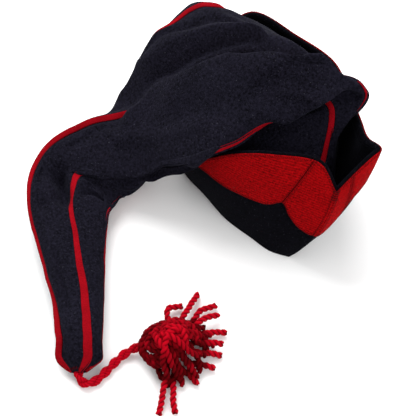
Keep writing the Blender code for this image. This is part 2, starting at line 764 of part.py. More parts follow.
def make_tassel():
    """The tassel's head, with its locks and the neck that meets the cord joined to it."""
    points, faces = tassel_head()
    head = piece("tassel", points, faces, RED_YARN)
    locks = bpy.data.collections.new("locks")
    bpy.context.scene.collection.children.link(locks)
    cord = cord_points()
    onward = unit(cord[-1] - cord[-2])
    neck = np.array([cord[-1] + onward * GAP, cord[-1] + onward * (GAP + NECK_LENGTH)])
    make_lock(0, neck, np.full(len(neck), CORD_RADIUS), locks)
    for number, row in enumerate(TASSEL_LOCKS):
        ends = np.array(row[:6]).reshape(3, 2) * HEAD_LENGTH
        heights = np.array([row[6], (row[6] + row[7]) / 2, row[7]]) * YARN_RADIUS
        knots = np.column_stack([(0.0, 0.5, 1.0), ends, heights])
        path = smooth(knots, np.linspace(0, 1, len(LOCK_TAPER)))
        make_lock(number + 1, path, YARN_RADIUS * np.array(LOCK_TAPER), locks)
    join = head.modifiers.new("locks", "BOOLEAN")
    join.operation = "UNION"
    join.operand_type = "COLLECTION"
    join.collection = locks
    join.solver = "EXACT"


def centre():
    """Moves the pieces so that the origin lies under the middle of the cap without its tassel."""
    meshes = [thing.data for thing in bpy.data.objects if thing.type == "MESH"]
    cloth = [mesh for mesh in meshes if mesh.name.startswith(("band", "facing", "gore", "strip"))]
    corners = np.array([vertex.co for mesh in cloth for vertex in mesh.vertices])
    middle = (corners.min(axis=0) + corners.max(axis=0)) / 2
    shift = Matrix.Translation((-middle[0], -middle[1], 0))
    for mesh in meshes:
        mesh.transform(shift)
    bpy.data.objects["cord"].data.transform(shift)


def main():
    for thing in list(bpy.data.objects):
        bpy.data.objects.remove(thing, do_unlink=True)
    make_band()
    for name, first, last in FACING_PIECES:
        make_facing(name, first, last)
    for name, first, last, cells in GORES:
        make_gore(name, first, last, cells)
    for name, seam in STRIPS:
        make_strip(name, seam)
    cord_curve("cord", cord_points(), CORD_RADIUS, RED_YARN)
    make_tassel()
    centre()


main()
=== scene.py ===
import math
import bpy
import numpy as np
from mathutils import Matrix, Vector, noise


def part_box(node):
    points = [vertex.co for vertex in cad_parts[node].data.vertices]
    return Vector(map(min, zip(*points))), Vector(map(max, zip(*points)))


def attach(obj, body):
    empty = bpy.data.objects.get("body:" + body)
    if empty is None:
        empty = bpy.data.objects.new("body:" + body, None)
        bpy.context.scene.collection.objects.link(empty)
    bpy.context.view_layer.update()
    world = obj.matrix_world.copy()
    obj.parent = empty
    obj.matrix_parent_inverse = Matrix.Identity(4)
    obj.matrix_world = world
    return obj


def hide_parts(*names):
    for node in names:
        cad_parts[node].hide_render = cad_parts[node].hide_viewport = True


# A forage cap of navy wool with red facing, red seam strips and a red yarn tassel, lying on a table.

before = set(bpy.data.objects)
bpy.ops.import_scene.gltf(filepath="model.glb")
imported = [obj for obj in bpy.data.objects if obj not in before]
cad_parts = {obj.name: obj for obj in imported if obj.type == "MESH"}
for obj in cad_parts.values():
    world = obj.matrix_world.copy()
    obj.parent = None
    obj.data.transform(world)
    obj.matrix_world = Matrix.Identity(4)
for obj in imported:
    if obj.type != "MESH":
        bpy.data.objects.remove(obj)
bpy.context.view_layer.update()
print("frame loaded")
noise.seed_set(4)  # the cloth and the yarn lie the same way in every run

# The cap's own form, the same as in its solids: lengths in metres, the tables in shares of them.
capForm = {
    "headLength": 0.229,
    "crestHeight": 0.164,
    "bagLength": 0.770,
    "bagGirth": 0.424,
    "roundness": 1.657,
    "leastShare": 0.5,
    "leastRound": 0.030,
    "runSpan": 0.045,
    "nearby": 0.012,
    "lined": 0.16,
    "liningInset": 0.0078,
    "mouthLift": 0.0018,
    "lean": (0.095, -0.025),
    "floorGap": 0.0008,
}
headLength = capForm["headLength"]

# seams: along the bag, across, away, up
seams = {
    "front": (
        (0, 0.15, -0.415, 0.01), (0.07, 0.22, -0.325, 0.31), (0.13, 0.31, -0.215, 0.54),
        (0.18, 0.335, -0.12, 0.76), (0.21, 0.29, -0.075, 0.76), (0.245, 0.2, -0.1, 0.74),
        (0.285, 0.085, -0.17, 0.73), (0.33, -0.05, -0.245, 0.65), (0.38, -0.175, -0.25, 0.56),
        (0.43, -0.275, -0.215, 0.45), (0.48, -0.375, -0.175, 0.34), (0.54, -0.51, -0.15, 0.23),
        (0.6, -0.61, -0.17, 0.22), (0.67, -0.71, -0.165, 0.23), (0.73, -0.73, -0.29, 0.22),
        (0.8, -0.695, -0.485, 0.22), (0.87, -0.655, -0.725, 0.21), (0.94, -0.635, -0.9, 0.19),
        (0.975, -0.64, -0.98, 0.15), (0.992, -0.652, -1.012, 0.12), (1, -0.667, -1.037, 0.087),
    ),
    "left": (
        (0, 0.31, 0.095, 0.01), (0.07, 0.385, 0.025, 0.32), (0.13, 0.372, -0.1, 0.61),
        (0.18, 0.465, -0.095, 0.85), (0.22, 0.36, -0.06, 0.97), (0.27, 0.19, 0, 1), (0.31, 0.065, 0.05, 0.95),
        (0.36, -0.095, 0.095, 0.84), (0.41, -0.215, 0.1, 0.73), (0.46, -0.35, 0.11, 0.56),
        (0.53, -0.51, 0.105, 0.37), (0.6, -0.685, 0.085, 0.3), (0.67, -0.86, -0.03, 0.24),
        (0.73, -0.925, -0.22, 0.19), (0.8, -0.875, -0.45, 0.16), (0.87, -0.79, -0.705, 0.13),
        (0.94, -0.75, -0.91, 0.12), (0.975, -0.74, -0.97, 0.09), (0.992, -0.71, -1.008, 0.07),
        (1, -0.689, -1.03, 0.058),
    ),
    "back": (
        (0, -0.12, 0.45, 0.01), (0.07, -0.065, 0.43, 0.32), (0.13, -0.02, 0.39, 0.57),
        (0.18, -0.045, 0.37, 0.67), (0.23, -0.085, 0.395, 0.74), (0.285, -0.15, 0.44, 0.79),
        (0.335, -0.225, 0.47, 0.75), (0.385, -0.308, 0.445, 0.66), (0.43, -0.38, 0.385, 0.56),
        (0.475, -0.445, 0.3, 0.43), (0.535, -0.51, 0.205, 0.24), (0.6, -0.6, 0.1, 0.08),
        (0.67, -0.72, -0.045, 0.03), (0.73, -0.75, -0.28, 0.02), (0.8, -0.72, -0.485, 0.01),
        (0.87, -0.675, -0.72, 0.01), (0.94, -0.655, -0.905, 0.01), (0.975, -0.665, -0.975, 0.02),
        (0.992, -0.665, -1.006, 0.02), (1, -0.667, -1.023, 0.028),
    ),
    "right": (
        (0, -0.27, 0.065, 0.01), (0.07, -0.255, 0.065, 0.26), (0.13, -0.24, 0.065, 0.39),
        (0.18, -0.25, 0.065, 0.48), (0.24, -0.275, 0.06, 0.51), (0.31, -0.295, 0.05, 0.49),
        (0.38, -0.31, 0.042, 0.45), (0.44, -0.325, 0.03, 0.4), (0.48, -0.345, 0.005, 0.34),
        (0.52, -0.375, -0.045, 0.26), (0.56, -0.425, -0.11, 0.16), (0.6, -0.485, -0.165, 0.09),
        (0.64, -0.545, -0.22, 0.08), (0.67, -0.58, -0.285, 0.09), (0.73, -0.59, -0.38, 0.1),
        (0.8, -0.59, -0.52, 0.11), (0.87, -0.58, -0.715, 0.1), (0.94, -0.575, -0.905, 0.09),
        (0.975, -0.588, -0.97, 0.07), (0.992, -0.62, -1.005, 0.06), (1, -0.645, -1.03, 0.058),
    ),
}
seamTurns = {"front": 0.0, "left": 0.25, "back": 0.5, "right": 0.75}

# fullness between the seams, along the bag
fullness = (
    (0, 1, 1, 1, 1), (0.13, 1, 0.9, 1, 0.8), (0.18, 1.2, 0.6, 1, 0.5), (0.22, 1.2, 0.4, 1, 0.4),
    (0.27, 1.1, 0.3, 1, 0.5), (0.31, 1, 0.3, 1, 0.7), (0.36, 1.1, 0.4, 1, 1), (0.41, 1.1, 0.7, 1, 1),
    (0.46, 1.1, 0.9, 1, 1), (0.53, 1, 1, 1, 1), (1, 1, 1, 1, 1),
)

# folds: from along, around, to along, around, breadth, push across, away and up
mainFolds = (
    (0.26, 0.045, 0.222, 0.125, 0.08, 0, -0.064, -0.026), (0.2, 0.04, 0.19, 0.12, 0.06, -0.01, 0.035, 0),
    (0.3, 0.215, 0.45, 0.215, 0.065, 0, -0.023, 0.028), (0.28, 0.285, 0.43, 0.29, 0.06, 0, -0.014, -0.032),
    (0.23, 0.34, 0.46, 0.365, 0.075, -0.005, 0.01, 0.028), (0.21, 0.405, 0.26, 0.405, 0.11, 0, -0.018, -0.05),
    (0.43, 0.39, 0.52, 0.35, 0.11, -0.042, 0.037, 0.018), (0.44, 0.88, 0.56, 0.86, 0.12, 0, -0.042, -0.018),
    (0.4, 0.905, 0.5, 0.885, 0.105, 0, -0.05, -0.02),
)

# the smaller folds and dents that only the cloth shows, in the same columns
clothFolds = (
    (0.168, 0.375, 0.208, 0.345, 0.085, -0.045, -0.052, -0.082),
    (0.23, 0.29, 0.238, 0.35, 0.055, 0, -0.034, -0.044), (0.282, 0.335, 0.27, 0.345, 0.05, 0, -0.012, -0.016),
    (0.165, 0, 0.205, 0, 0.05, -0.005, 0, 0), (0.6, 0.735, 0.66, 0.735, 0.05, 0, 0.024, 0),
    (0.29, 0.332, 0.47, 0.332, 0.026, 0, 0.012, 0.022), (0.28, 0.374, 0.46, 0.378, 0.032, 0, -0.006, -0.03),
    (0.32, 0.3, 0.487, 0.268, 0.02, 0, 0.006, 0.014), (0.3, 0.316, 0.47, 0.3, 0.016, 0, -0.002, -0.014),
    (0.185, 0.06, 0.185, 0.17, 0.018, 0, 0.006, -0.014), (0.215, 0.12, 0.28, 0.135, 0.022, 0, -0.004, 0.008),
    (0.4, 0.13, 0.56, 0.15, 0.04, 0, -0.008, 0.01), (0.54, 0.2, 0.64, 0.13, 0.024, 0, 0.004, -0.01),
    (0.692, 0.068, 0.728, 0.036, 0.052, 0, 0.004, -0.078), (0.738, 0.08, 0.748, 0.14, 0.042, 0, 0, -0.03),
    (0.7, 0.15, 0.7, 0.095, 0.022, 0, 0.004, -0.02), (0.736, 0.11, 0.746, 0.06, 0.03, 0, 0, 0.014),
    (0.712, 0.96, 0.668, 0.865, 0.02, 0.004, 0.004, -0.026), (0.69, 0.985, 0.66, 0.93, 0.022, 0, 0, 0.014),
    (0.74, 0.16, 0.8, 0.13, 0.026, -0.004, 0, 0.008), (0.82, 0.11, 0.9, 0.1, 0.02, 0, 0, -0.008),
    (0.986, 0.22, 0.986, 0.28, 0.05, -0.022, 0, 0), (0.986, 0.72, 0.986, 0.78, 0.05, 0.024, 0, 0),
)

# how far the strips wander off their seams: along the bag, turns
seamWander = {
    "front": (
        (0, 0), (0.22, 0), (0.26, 0), (0.3, 0.018), (0.36, 0.018), (0.42, 0), (0.46, 0), (0.9, 0),
        (0.94, -0.004), (0.97, -0.02), (0.985, -0.05), (1, -0.085),
    ),
    "left": (
        (0, 0), (0.08, 0), (0.13, -0.008), (0.16, -0.018), (0.185, 0.008), (0.205, 0.04), (0.23, 0.03),
        (0.26, 0), (0.3, 0), (0.44, 0.004), (0.47, 0.01), (0.49, 0.004), (0.515, -0.01), (0.56, -0.018),
        (0.68, -0.018), (0.78, -0.004), (0.88, -0.006), (0.95, -0.02), (0.985, -0.02), (1, 0),
    ),
    "back": (
        (0, 0), (0.18, 0), (0.22, -0.006), (0.26, -0.026), (0.295, -0.05), (0.33, -0.058), (0.375, -0.062),
        (0.41, -0.078), (0.44, -0.08), (0.47, -0.07), (0.52, -0.02), (0.56, 0), (0.62, 0), (1, 0),
    ),
    "right": ((0, 0), (1, 0)),
}

# how far the strips are turned over toward the seam before them: along the bag, radians
seamRoll = {
    "front": ((0, 0), (1, 0)),
    "left": (
        (0, 0), (0.48, 0), (0.56, 0.95), (0.68, 0.95), (0.76, 0.45), (0.86, 0.45), (0.93, 1), (0.985, 1),
        (1, 0.3),
    ),
    "back": ((0, 0), (0.2, 0.1), (0.28, 0.45), (0.42, 0.45), (0.52, 0), (1, 0)),
    "right": ((0, 0), (1, 0)),
}

# how broad the strips show, in shares of their own width
seamBreadth = {
    "front": (
        (0, 1), (0.3, 1), (0.35, 1.15), (0.48, 1.15), (0.54, 1), (0.6, 1), (0.68, 1.1), (0.735, 0.75),
        (0.78, 0.8), (0.85, 1.1), (0.92, 1.3), (0.98, 1.4), (1, 1.4),
    ),
    "left": (
        (0, 1), (0.12, 1), (0.15, 1.2), (0.185, 1.4), (0.21, 1.1), (0.235, 1), (0.27, 1), (0.39, 1),
        (0.42, 1), (0.455, 0.3), (0.495, 0.3), (0.53, 1), (0.56, 1), (0.62, 1), (0.72, 0.8), (0.86, 0.8),
        (0.92, 1), (1, 1),
    ),
    "back": ((0, 1), (0.24, 1), (0.29, 0.85), (0.4, 0.7), (0.47, 0.7), (0.53, 1), (1, 1)),
    "right": ((0, 1), (0.9, 1), (0.94, 0.8), (1, 0.8)),
}

# where a gore bellies out over the strip beside it: gore, its edge, from and to along, how far from the
# edge it is fullest, push across, away and up
bellies = (
    ("goreFrontLeft", "last", 0.215, 0.29, 0.005, 0.002, 0.022, 0.026),
    ("goreFrontLeft", "last", 0.265, 0.355, 0.005, 0, 0.02, 0.024),
    ("goreFrontLeft", "last", 0.33, 0.55, 0.005, 0, 0.037, 0.043),
    ("goreFrontLeft", "first", 0.35, 0.675, 0.005, 0, -0.024, -0.009),
    ("goreFrontLeft", "first", 0.37, 0.425, 0.005, 0, -0.018, -0.007),
    ("goreFrontLeft", "first", 0.46, 0.675, 0.005, 0, -0.026, -0.011),
    ("goreFrontRight", "first", 0.52, 0.64, 0.005, 0.01, -0.006, -0.01),
)
bellyFade = 0.025

# the band: turn round the hem, hem across and away, rim across, away and up, swell
bandEdges = (
    (0, 0.175, -0.475, 0.34, -0.45, 0.625, 0.046), (0.03, 0.22, -0.425, 0.405, -0.4, 0.69, 0.055),
    (0.06, 0.255, -0.38, 0.47, -0.35, 0.74, 0.055), (0.085, 0.28, -0.325, 0.51, -0.32, 0.76, 0.042),
    (0.13, 0.305, -0.23, 0.47, -0.25, 0.735, 0.023), (0.2, 0.335, -0.07, 0.45, -0.13, 0.69, 0.023),
    (0.28, 0.34, 0.115, 0.405, 0.035, 0.71, 0.023), (0.36, 0.28, 0.285, 0.345, 0.18, 0.72, 0.023),
    (0.43, 0.13, 0.415, 0.215, 0.305, 0.72, 0.023), (0.5, -0.075, 0.49, 0.035, 0.44, 0.73, 0.014),
    (0.58, -0.195, 0.405, -0.13, 0.39, 0.56, 0.014), (0.67, -0.27, 0.255, -0.25, 0.26, 0.44, 0.014),
    (0.75, -0.295, 0.085, -0.295, 0.075, 0.4, 0.014), (0.82, -0.265, -0.04, -0.265, -0.065, 0.4, 0.014),
    (0.88, -0.175, -0.16, -0.175, -0.185, 0.44, 0.014), (0.92, -0.08, -0.29, -0.05, -0.26, 0.62, 0.018),
    (0.95, 0.02, -0.38, 0.1, -0.322, 0.725, 0.028), (0.975, 0.095, -0.445, 0.27, -0.365, 0.735, 0.037),
    (1, 0.175, -0.475, 0.34, -0.45, 0.625, 0.046),
)

# lower edge of the facing: turn, share of the band's height
facingEdge = (
    (0, 0.465), (0.006, 0.43), (0.012, 0.415), (0.02, 0.415), (0.03, 0.52), (0.038, 0.625), (0.044, 0.665),
    (0.06, 0.7), (0.09, 0.7), (0.2, 0.6), (0.35, 0.5), (0.47, 0.5), (0.5, 0.56), (0.53, 0.52), (0.65, 0.62),
    (0.8, 0.72), (0.876, 0.75), (0.89, 0.68), (0.902, 0.6), (0.917, 0.535), (0.929, 0.515), (0.94, 0.5),
    (0.956, 0.52), (0.962, 0.565), (0.97, 0.47), (0.98, 0.415), (0.988, 0.415), (0.994, 0.43), (1, 0.465),
)

# the slanted seams of the facing: turn at the lower edge, turns gained up to the rim
facingSlants = ((0.038, -0.010), (0.962, 0.010))
slantFoot = 0.56
slantSpan = 0.028


# points on smooth curves and surfaces

def hermite(start, end, leave, arrive, t):
    rise = t * t * (3 - 2 * t)
    return start * (1 - rise) + end * rise + leave * t * (1 - t) ** 2 + arrive * t * t * (t - 1)


def smooth(rows, at):
    table = np.array(rows)
    place = table[:, 0]
    value = table[:, 1:]
    step = np.diff(place)
    slope = np.diff(value, axis=0) / step[:, None]
    tangent = np.vstack([slope[:1], slope])
    before = step[:-1, None]
    after = step[1:, None]
    tangent[1:-1] = (slope[:-1] * after + slope[1:] * before) / (before + after)
    at = np.clip(at, place[0], place[-1])
    i = np.clip(np.searchsorted(place, at, side="right") - 1, 0, len(step) - 1)
    t = ((at - place[i]) / step[i])[:, None]
    span = step[i][:, None]
    return hermite(value[i], value[i + 1], tangent[i] * span, tangent[i + 1] * span, t)


def unit(vectors):
    return vectors / np.maximum(np.linalg.norm(vectors, axis=-1, keepdims=True), 1e-12)


def squareTo(run, vectors):
    return unit(vectors - run * np.sum(vectors * run, axis=-1, keepdims=True))


def bandFace(turn, level):
    # outer face of the band, before the cap is centred, and the level way out of it
    row = smooth(bandEdges, np.mod(turn, 1))
    hem = np.column_stack([row[:, 0:2] * headLength, np.zeros(len(row))])
    rim = np.column_stack([row[:, 2:4] * headLength, row[:, 4] * capForm["crestHeight"]])
    level = level[:, None]
    point = hem + (rim - hem) * level
    middle = np.array([*capForm["lean"], 0.0]) * headLength * level
    ray = unit((point - middle) * np.array([1, 1, 0]))
    return point + ray * row[:, 5:6] * headLength * 4 * level * (1 - level), ray


def seamPoints(along):
    size = np.array([headLength, headLength, capForm["crestHeight"]])
    return np.stack([smooth(seams[name], along) * size for name in seamTurns], axis=1)


def girdle(along, around):
    # the closed smooth section through the four seams
    corner = seamPoints(along)
    span = capForm["runSpan"]
    run = unit(seamPoints(np.minimum(along + span, 1)) - seamPoints(np.maximum(along - span, 0)))
    onward = squareTo(run, np.roll(corner, -1, axis=1) - corner)
    behind = squareTo(run, corner - np.roll(corner, 1, axis=1))
    ahead = unit(onward + behind)
    stand = smooth(fullness, along)
    quarter = np.floor(around * 4).astype(int)
    each = np.arange(len(along))
    first = (each, quarter % 4)
    second = (each, (quarter + 1) % 4)
    chord = corner[second] - corner[first]
    reach = np.linalg.norm(chord, axis=1, keepdims=True)
    least = np.minimum(capForm["leastShare"] * reach, capForm["leastRound"])

    def handle(end, column):
        full = np.column_stack([stand[:, 0], stand[:, column], np.ones(len(along)), stand[:, 3]])
        toward = np.sum(chord * ahead[end], axis=1, keepdims=True)
        return ahead[end] * np.maximum(capForm["roundness"] * toward, least) * full[first][:, None]

    t = (around * 4 - quarter)[:, None]
    return hermite(corner[first], corner[second], handle(first, 1), handle(second, 2), t)


def foldPush(folds, along, around):
    push = np.zeros((len(along), 3))
    flat = np.array([capForm["bagLength"], capForm["bagGirth"]])
    for first, firstTurn, last, lastTurn, breadth, across, away, up in folds:
        start = np.array([first, firstTurn]) * flat
        line = np.array([last, lastTurn]) * flat - start
        nearest = np.full(len(along), np.inf)
        for lap in (-1, 0, 1):
            place = np.column_stack([along, around + lap]) * flat - start
            share = np.clip(place @ line / (line @ line), 0, 1)
            apart = place - share[:, None] * line
            nearest = np.minimum(nearest, np.sum(apart * apart, axis=1))
        weight = np.exp(-nearest / (breadth * headLength) ** 2)
        push += weight[:, None] * np.array([across, away, up]) * headLength
    return push


# slow waves of limp cloth: how far apart and how deep, in metres, and where along the bag they begin
clothWaves = {
    "sizes": ((0.045, 0.0022), (0.014, 0.0006)),
    "settled": 0.10,
}


def waves(points, depth):
    moved = np.zeros(points.shape)
    for size, height in clothWaves["sizes"]:
        moved += np.array([noise.noise_vector(Vector(point / size)) for point in points]) * height
    return points + moved * np.reshape(depth, (-1, 1))


def bagFace(along, around):
    level = np.minimum(along / capForm["lined"], 1)
    lining, ray = bandFace(around, level)
    lining = lining - ray * capForm["liningInset"]
    lining[:, 2] += capForm["mouthLift"] * (1 - level)
    leave = (level * level * (3 - 2 * level))[:, None]
    point = lining * (1 - leave) + girdle(along, around) * leave
    point = point + foldPush(mainFolds + clothFolds, along, around)
    point = waves(point, np.clip((along - clothWaves["settled"]) / clothWaves["settled"], 0, 1))
    point[:, 2] = np.maximum(point[:, 2], capForm["floorGap"])
    return point


def bagGrid(rows, columns):
    # the bag's face at every meeting of places along it and turns round it, in a grid of points
    rows, columns = np.broadcast_arrays(rows, columns)
    return bagFace(rows.ravel(), columns.ravel()).reshape(rows.shape + (3,))


def surfaceOut(points):
    # outward directions of a grid whose rows run along and columns run round
    return unit(np.cross(np.gradient(points, axis=1), np.gradient(points, axis=0)))


# the CAD cap stands over the origin, so these forms move there too
def capShift():
    turns = np.linspace(0, 1, 361)
    low, high = (np.array(corner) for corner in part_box("band"))
    mine = np.concatenate([bandFace(turns, np.full(len(turns), level))[0] for level in (0.0, 1.0, 0.5)])
    gap = (low + high) / 2 - (mine.min(axis=0) + mine.max(axis=0)) / 2
    return gap * np.array([1, 1, 0])


shift = capShift()
print("cap shift", shift)


# node trees as expressions

class Sock:
    # one output of a node
    def __init__(self, graph, socket):
        self.graph = graph
        self.socket = socket

    def out(self, name):
        # another output of the same node
        return Sock(self.graph, self.graph.find(self.socket.node.outputs, name))

    def maths(self, operation, first, second=0.0):
        return self.graph.add("ShaderNodeMath", {0: first, 1: second}, operation=operation)

    def __add__(self, other):
        return self.maths("ADD", self, other)

    def __sub__(self, other):
        return self.maths("SUBTRACT", self, other)

    def __rsub__(self, other):
        return self.maths("SUBTRACT", other, self)

    def __mul__(self, other):
        return self.maths("MULTIPLY", self, other)

    def __truediv__(self, other):
        return self.maths("DIVIDE", self, other)

    def __rtruediv__(self, other):
        return self.maths("DIVIDE", other, self)

    def __gt__(self, other):
        return self.maths("GREATER_THAN", self, other)

    def __abs__(self):
        return self.maths("ABSOLUTE", self)

    __radd__ = __add__
    __rmul__ = __mul__

    def sine(self):
        return self.maths("SINE", self)

    def cosine(self):
        return self.maths("COSINE", self)

    def wave(self):
        # up and down between 0 and 1, once in every unit
        return (self * (2 * math.pi)).sine() * 0.5 + 0.5


class Graph:
    # a shader or geometry tree, with one way to add a node
    def __init__(self, tree):
        self.tree = tree

    def add(self, kind, sockets=None, **settings):
        # the settings first, then the values or links; the node's first output comes back
        node = self.tree.nodes.new(kind)
        for name, value in settings.items():
            setattr(node, name, value)
        for name, value in (sockets or {}).items():
            target = self.find(node.inputs, name)
            if isinstance(value, Sock):
                self.tree.links.new(value.socket, target)
            else:
                target.default_value = value
        return Sock(self, node.outputs[0]) if node.outputs else None

    def find(self, sockets, name):
        if isinstance(name, int):
            return sockets[name]
        for socket in sockets:
            if socket.identifier == name:
                return socket
        return next(socket for socket in sockets if socket.name == name and socket.enabled)

    def noise(self, vector, scale, detail, roughness):
        return self.add("ShaderNodeTexNoise", {
            "Vector": vector, "Scale": scale, "Detail": detail, "Roughness": roughness}).out("Fac")

    def stretched(self, scale, turn):
        # places on the cloth
        return self.add("ShaderNodeMapping", {
            "Vector": self.flat, "Scale": scale, "Rotation": (0.0, 0.0, turn)})

    def grain(self, scale, detail, roughness, stretch=None, turn=0.0):
        vector = self.stretched(stretch, turn) if stretch else self.spot
        return self.noise(vector, scale, detail, roughness)

    def blend(self, factor, first, second):
        sockets = {"Factor_Float": factor, "A_Color": first, "B_Color": second}
        return self.add("ShaderNodeMix", sockets, data_type="RGBA").out("Result_Color")

    def between(self, value, low, high):
        return self.add("ShaderNodeMapRange", {"Value": value, "From Min": low, "From Max": high})

    def kept(self, name):
        # a value that a geometry tree left on the mesh
        return self.add("ShaderNodeAttribute", attribute_name=name).out("Fac")

    def read(self, name, kind="FLOAT"):
        return self.add("GeometryNodeInputNamedAttribute", {"Name": name}, data_type=kind).out("Attribute")

    def store(self, geometry, name, value, kind="FLOAT"):
        return self.add("GeometryNodeStoreNamedAttribute", {
            "Geometry": geometry, "Name": name, "Value": value}, data_type=kind, domain="POINT")

    def vector(self, operation, first, second):
        return self.add("ShaderNodeVectorMath", {0: first, 1: second}, operation=operation)

    def scaled(self, vector, scale):
        return self.add("ShaderNodeVectorMath", {"Vector": vector, "Scale": scale}, operation="SCALE")

    def tube(self, curve, ring):
        return self.add("GeometryNodeCurveToMesh", {
            "Curve": curve, "Profile Curve": ring, "Fill Caps": True})

    def ring(self, sides, radius):
        return self.add("GeometryNodeCurvePrimitiveCircle", {"Resolution": sides, "Radius": radius})


def newMaterial(name):
    made = bpy.data.materials.new(name)
    made.use_nodes = True
    graph = Graph(made.node_tree)
    spots = graph.add("ShaderNodeTexCoord")
    graph.flat = spots.out("UV")
    graph.spot = spots.out("Object")
    return made, graph


def heap(graph, grains, height=0.0):
    # grains added up by their shares, each spread first if it has values that become 0 and 1
    for share, grain, *spread in grains:
        value = graph.grain(*grain)
        height = (graph.between(value, *spread) if spread else value) * share + height
    return height


def finish(made, graph, look, colour, fuzz, height):
    shader = made.node_tree.nodes["Principled BSDF"]
    depth, strength = look["bump"]
    bump = graph.add("ShaderNodeBump", {"Height": height, "Distance": depth, "Strength": strength})
    span, least = look["roughness"]
    for name, value in (("Base Color", colour), ("Roughness", fuzz * span + least), ("Normal", bump)):
        graph.tree.links.new(value.socket, shader.inputs[name])
    weight, spread, tint = look["sheen"]
    for name, value in (("Specular IOR Level", look["specular"]), ("Sheen Weight", weight),
                        ("Sheen Roughness", spread), ("Sheen Tint", tint)):
        shader.inputs[name].default_value = value
    return made


# A grain is a noise's scale, detail and roughness, with a stretch and a turn if it follows the cloth. In
# tones and lists of grains its share of the height stands before it, and after it what becomes 0 and 1.

# navy melton wool: short milled nap, faint twill below it, a little lint
navyWool = {
    "deep": (0.0022, 0.0020, 0.0036),
    "light": (0.0190, 0.0175, 0.0310),
    "grains": (
        (0.25, (1500.0, 3.0, 0.65)),
        (0.18, (1.0, 3.0, 0.6, (240.0, 900.0, 1.0), 0.4)),
        (0.10, (210.0, 2.0, 0.6)),
        (0.42, (430.0, 3.0, 0.75), 0.34, 0.66),
    ),
    "twill": ((760.0, 760.0, 760.0), 0.9),
    "twillShare": 0.05,
    "tone": (0.30, (28.0, 3.0, 0.55)),
    "shade": (0.40, 0.92),
    "lint": (900.0, 1.0, 0.4),
    "lintColour": (0.060, 0.060, 0.075, 1.0),
    "lintLimit": 0.745,
    "lintShare": 0.55,
    "roughness": (0.12, 0.86),
    "bump": (0.0005, 0.75),
    "specular": 0.02,
    "sheen": (0.02, 0.45, (0.55, 0.58, 0.75, 1.0)),
}


# two copies of one wool: the last two arguments lift and scale its colours, so the band's copy is painted
# darker as shade than the bag's
def makeNavyWool(name, paintedLift, depth):
    made, graph = newMaterial(name)
    look = navyWool
    twill = graph.add("ShaderNodeSeparateXYZ", {"Vector": graph.stretched(*look["twill"])}).wave()
    nap = heap(graph, look["grains"], twill * look["twillShare"])
    low, high = look["shade"]
    shade = graph.between(heap(graph, [look["tone"]], nap), low, high - paintedLift)
    deep, light = [tuple(part * depth for part in look[key]) + (1.0,) for key in ("deep", "light")]
    lint = (graph.grain(*look["lint"]) > look["lintLimit"]) * look["lintShare"]
    colour = graph.blend(lint, graph.blend(shade, deep, light), look["lintColour"])
    return finish(made, graph, look, colour, graph.between(nap, 0.0, 1.0), nap)


# red facing: a firm knitted cloth whose fine rows run round the band
redFacing = {
    "deep": (0.070, 0.0003, 0.0006, 1.0),
    "light": (0.400, 0.0020, 0.0036, 1.0),
    "slant": 1.50,
    "ribPitch": 0.0026,
    "ribShare": 0.20,
    "stitchPitch": 0.0024,
    "stitchShare": 0.12,
    "stitchArch": 0.6,
    "wander": (0.5, (180.0, 2.0, 0.5)),
    "fuzz": (1700.0, 3.0, 0.7),
    "fuzzShare": 0.24,
    "grains": ((0.44, (1.0, 3.0, 0.7, (360.0, 440.0, 1.0), -0.6), 0.32, 0.68),),
    "tone": (0.35, (30.0, 3.0, 0.6)),
    "shade": (0.34, 1.00),
    "roughness": (0.15, 0.80),
    "bump": (0.0007, 0.85),
    "specular": 0.02,
    "sheen": (0.01, 0.4, (1.0, 0.35, 0.35, 1.0)),
}


def knitted(graph, look):
    split = graph.add("ShaderNodeSeparateXYZ", {"Vector": graph.stretched((1, 1, 1), look["slant"])})
    wander = heap(graph, [look["wander"]])
    across = split.out("X") * (1 / look["ribPitch"]) + wander
    upward = split.out("Y") * (1 / look["stitchPitch"]) + wander
    chain = (upward + abs((across * math.pi).sine()) * look["stitchArch"]).wave()
    return across.wave() * look["ribShare"] + chain * look["stitchShare"]


# red felt strips in the seams
redFelt = {
    "deep": (0.110, 0.0008, 0.0024, 1.0),
    "light": (0.360, 0.0034, 0.0100, 1.0),
    "fuzz": (900.0, 4.0, 0.7),
    "fuzzShare": 0.6,
    "grains": ((0.4, (1.0, 2.0, 0.6, (500.0, 1300.0, 1.0), 0.3)),),
    "tone": (0.3, (60.0, 2.0, 0.5)),
    "shade": (0.40, 0.95),
    "roughness": (0.15, 0.82),
    "bump": (0.0006, 0.8),
    "specular": 0.02,
    "sheen": (0.01, 0.4, (1.0, 0.4, 0.4, 1.0)),
}

# red yarn: fibres that run round each ply with its twist, with painted shade between the plies and under
# other yarns
redYarn = {
    "deep": (0.022, 0.0001, 0.0004, 1.0),
    "light": (0.480, 0.0018, 0.0110, 1.0),
    "fibres": 14.0,
    "along": 420.0,
    "twist": 2.2,
    "alongShare": 0.25,
    "fibre": (1.0, 3.0, 0.7),
    "fibreShare": 0.6,
    "fuzz": (1600.0, 3.0, 0.7),
    "fuzzShare": 0.4,
    "grains": (),
    "tone": (0.3, (90.0, 2.0, 0.5)),
    "shade": (0.38, 0.98),
    "depth": (0.58, 0.99),
    "depthShare": 0.65,
    "underShadeShare": 0.85,
    "roughness": (0.15, 0.78),
    "bump": (0.0004, 0.8),
    "specular": 0.02,
    "sheen": (0.015, 0.4, (1.0, 0.35, 0.35, 1.0)),
}


def spun(graph, look):
    along = graph.kept("yarnAlong") * look["along"]
    strand = graph.add("ShaderNodeCombineXYZ", {
        "X": graph.kept("yarnAround") * look["fibres"] + along * look["twist"],
        "Y": along * look["alongShare"]})
    return graph.noise(strand, *look["fibre"]) * look["fibreShare"]


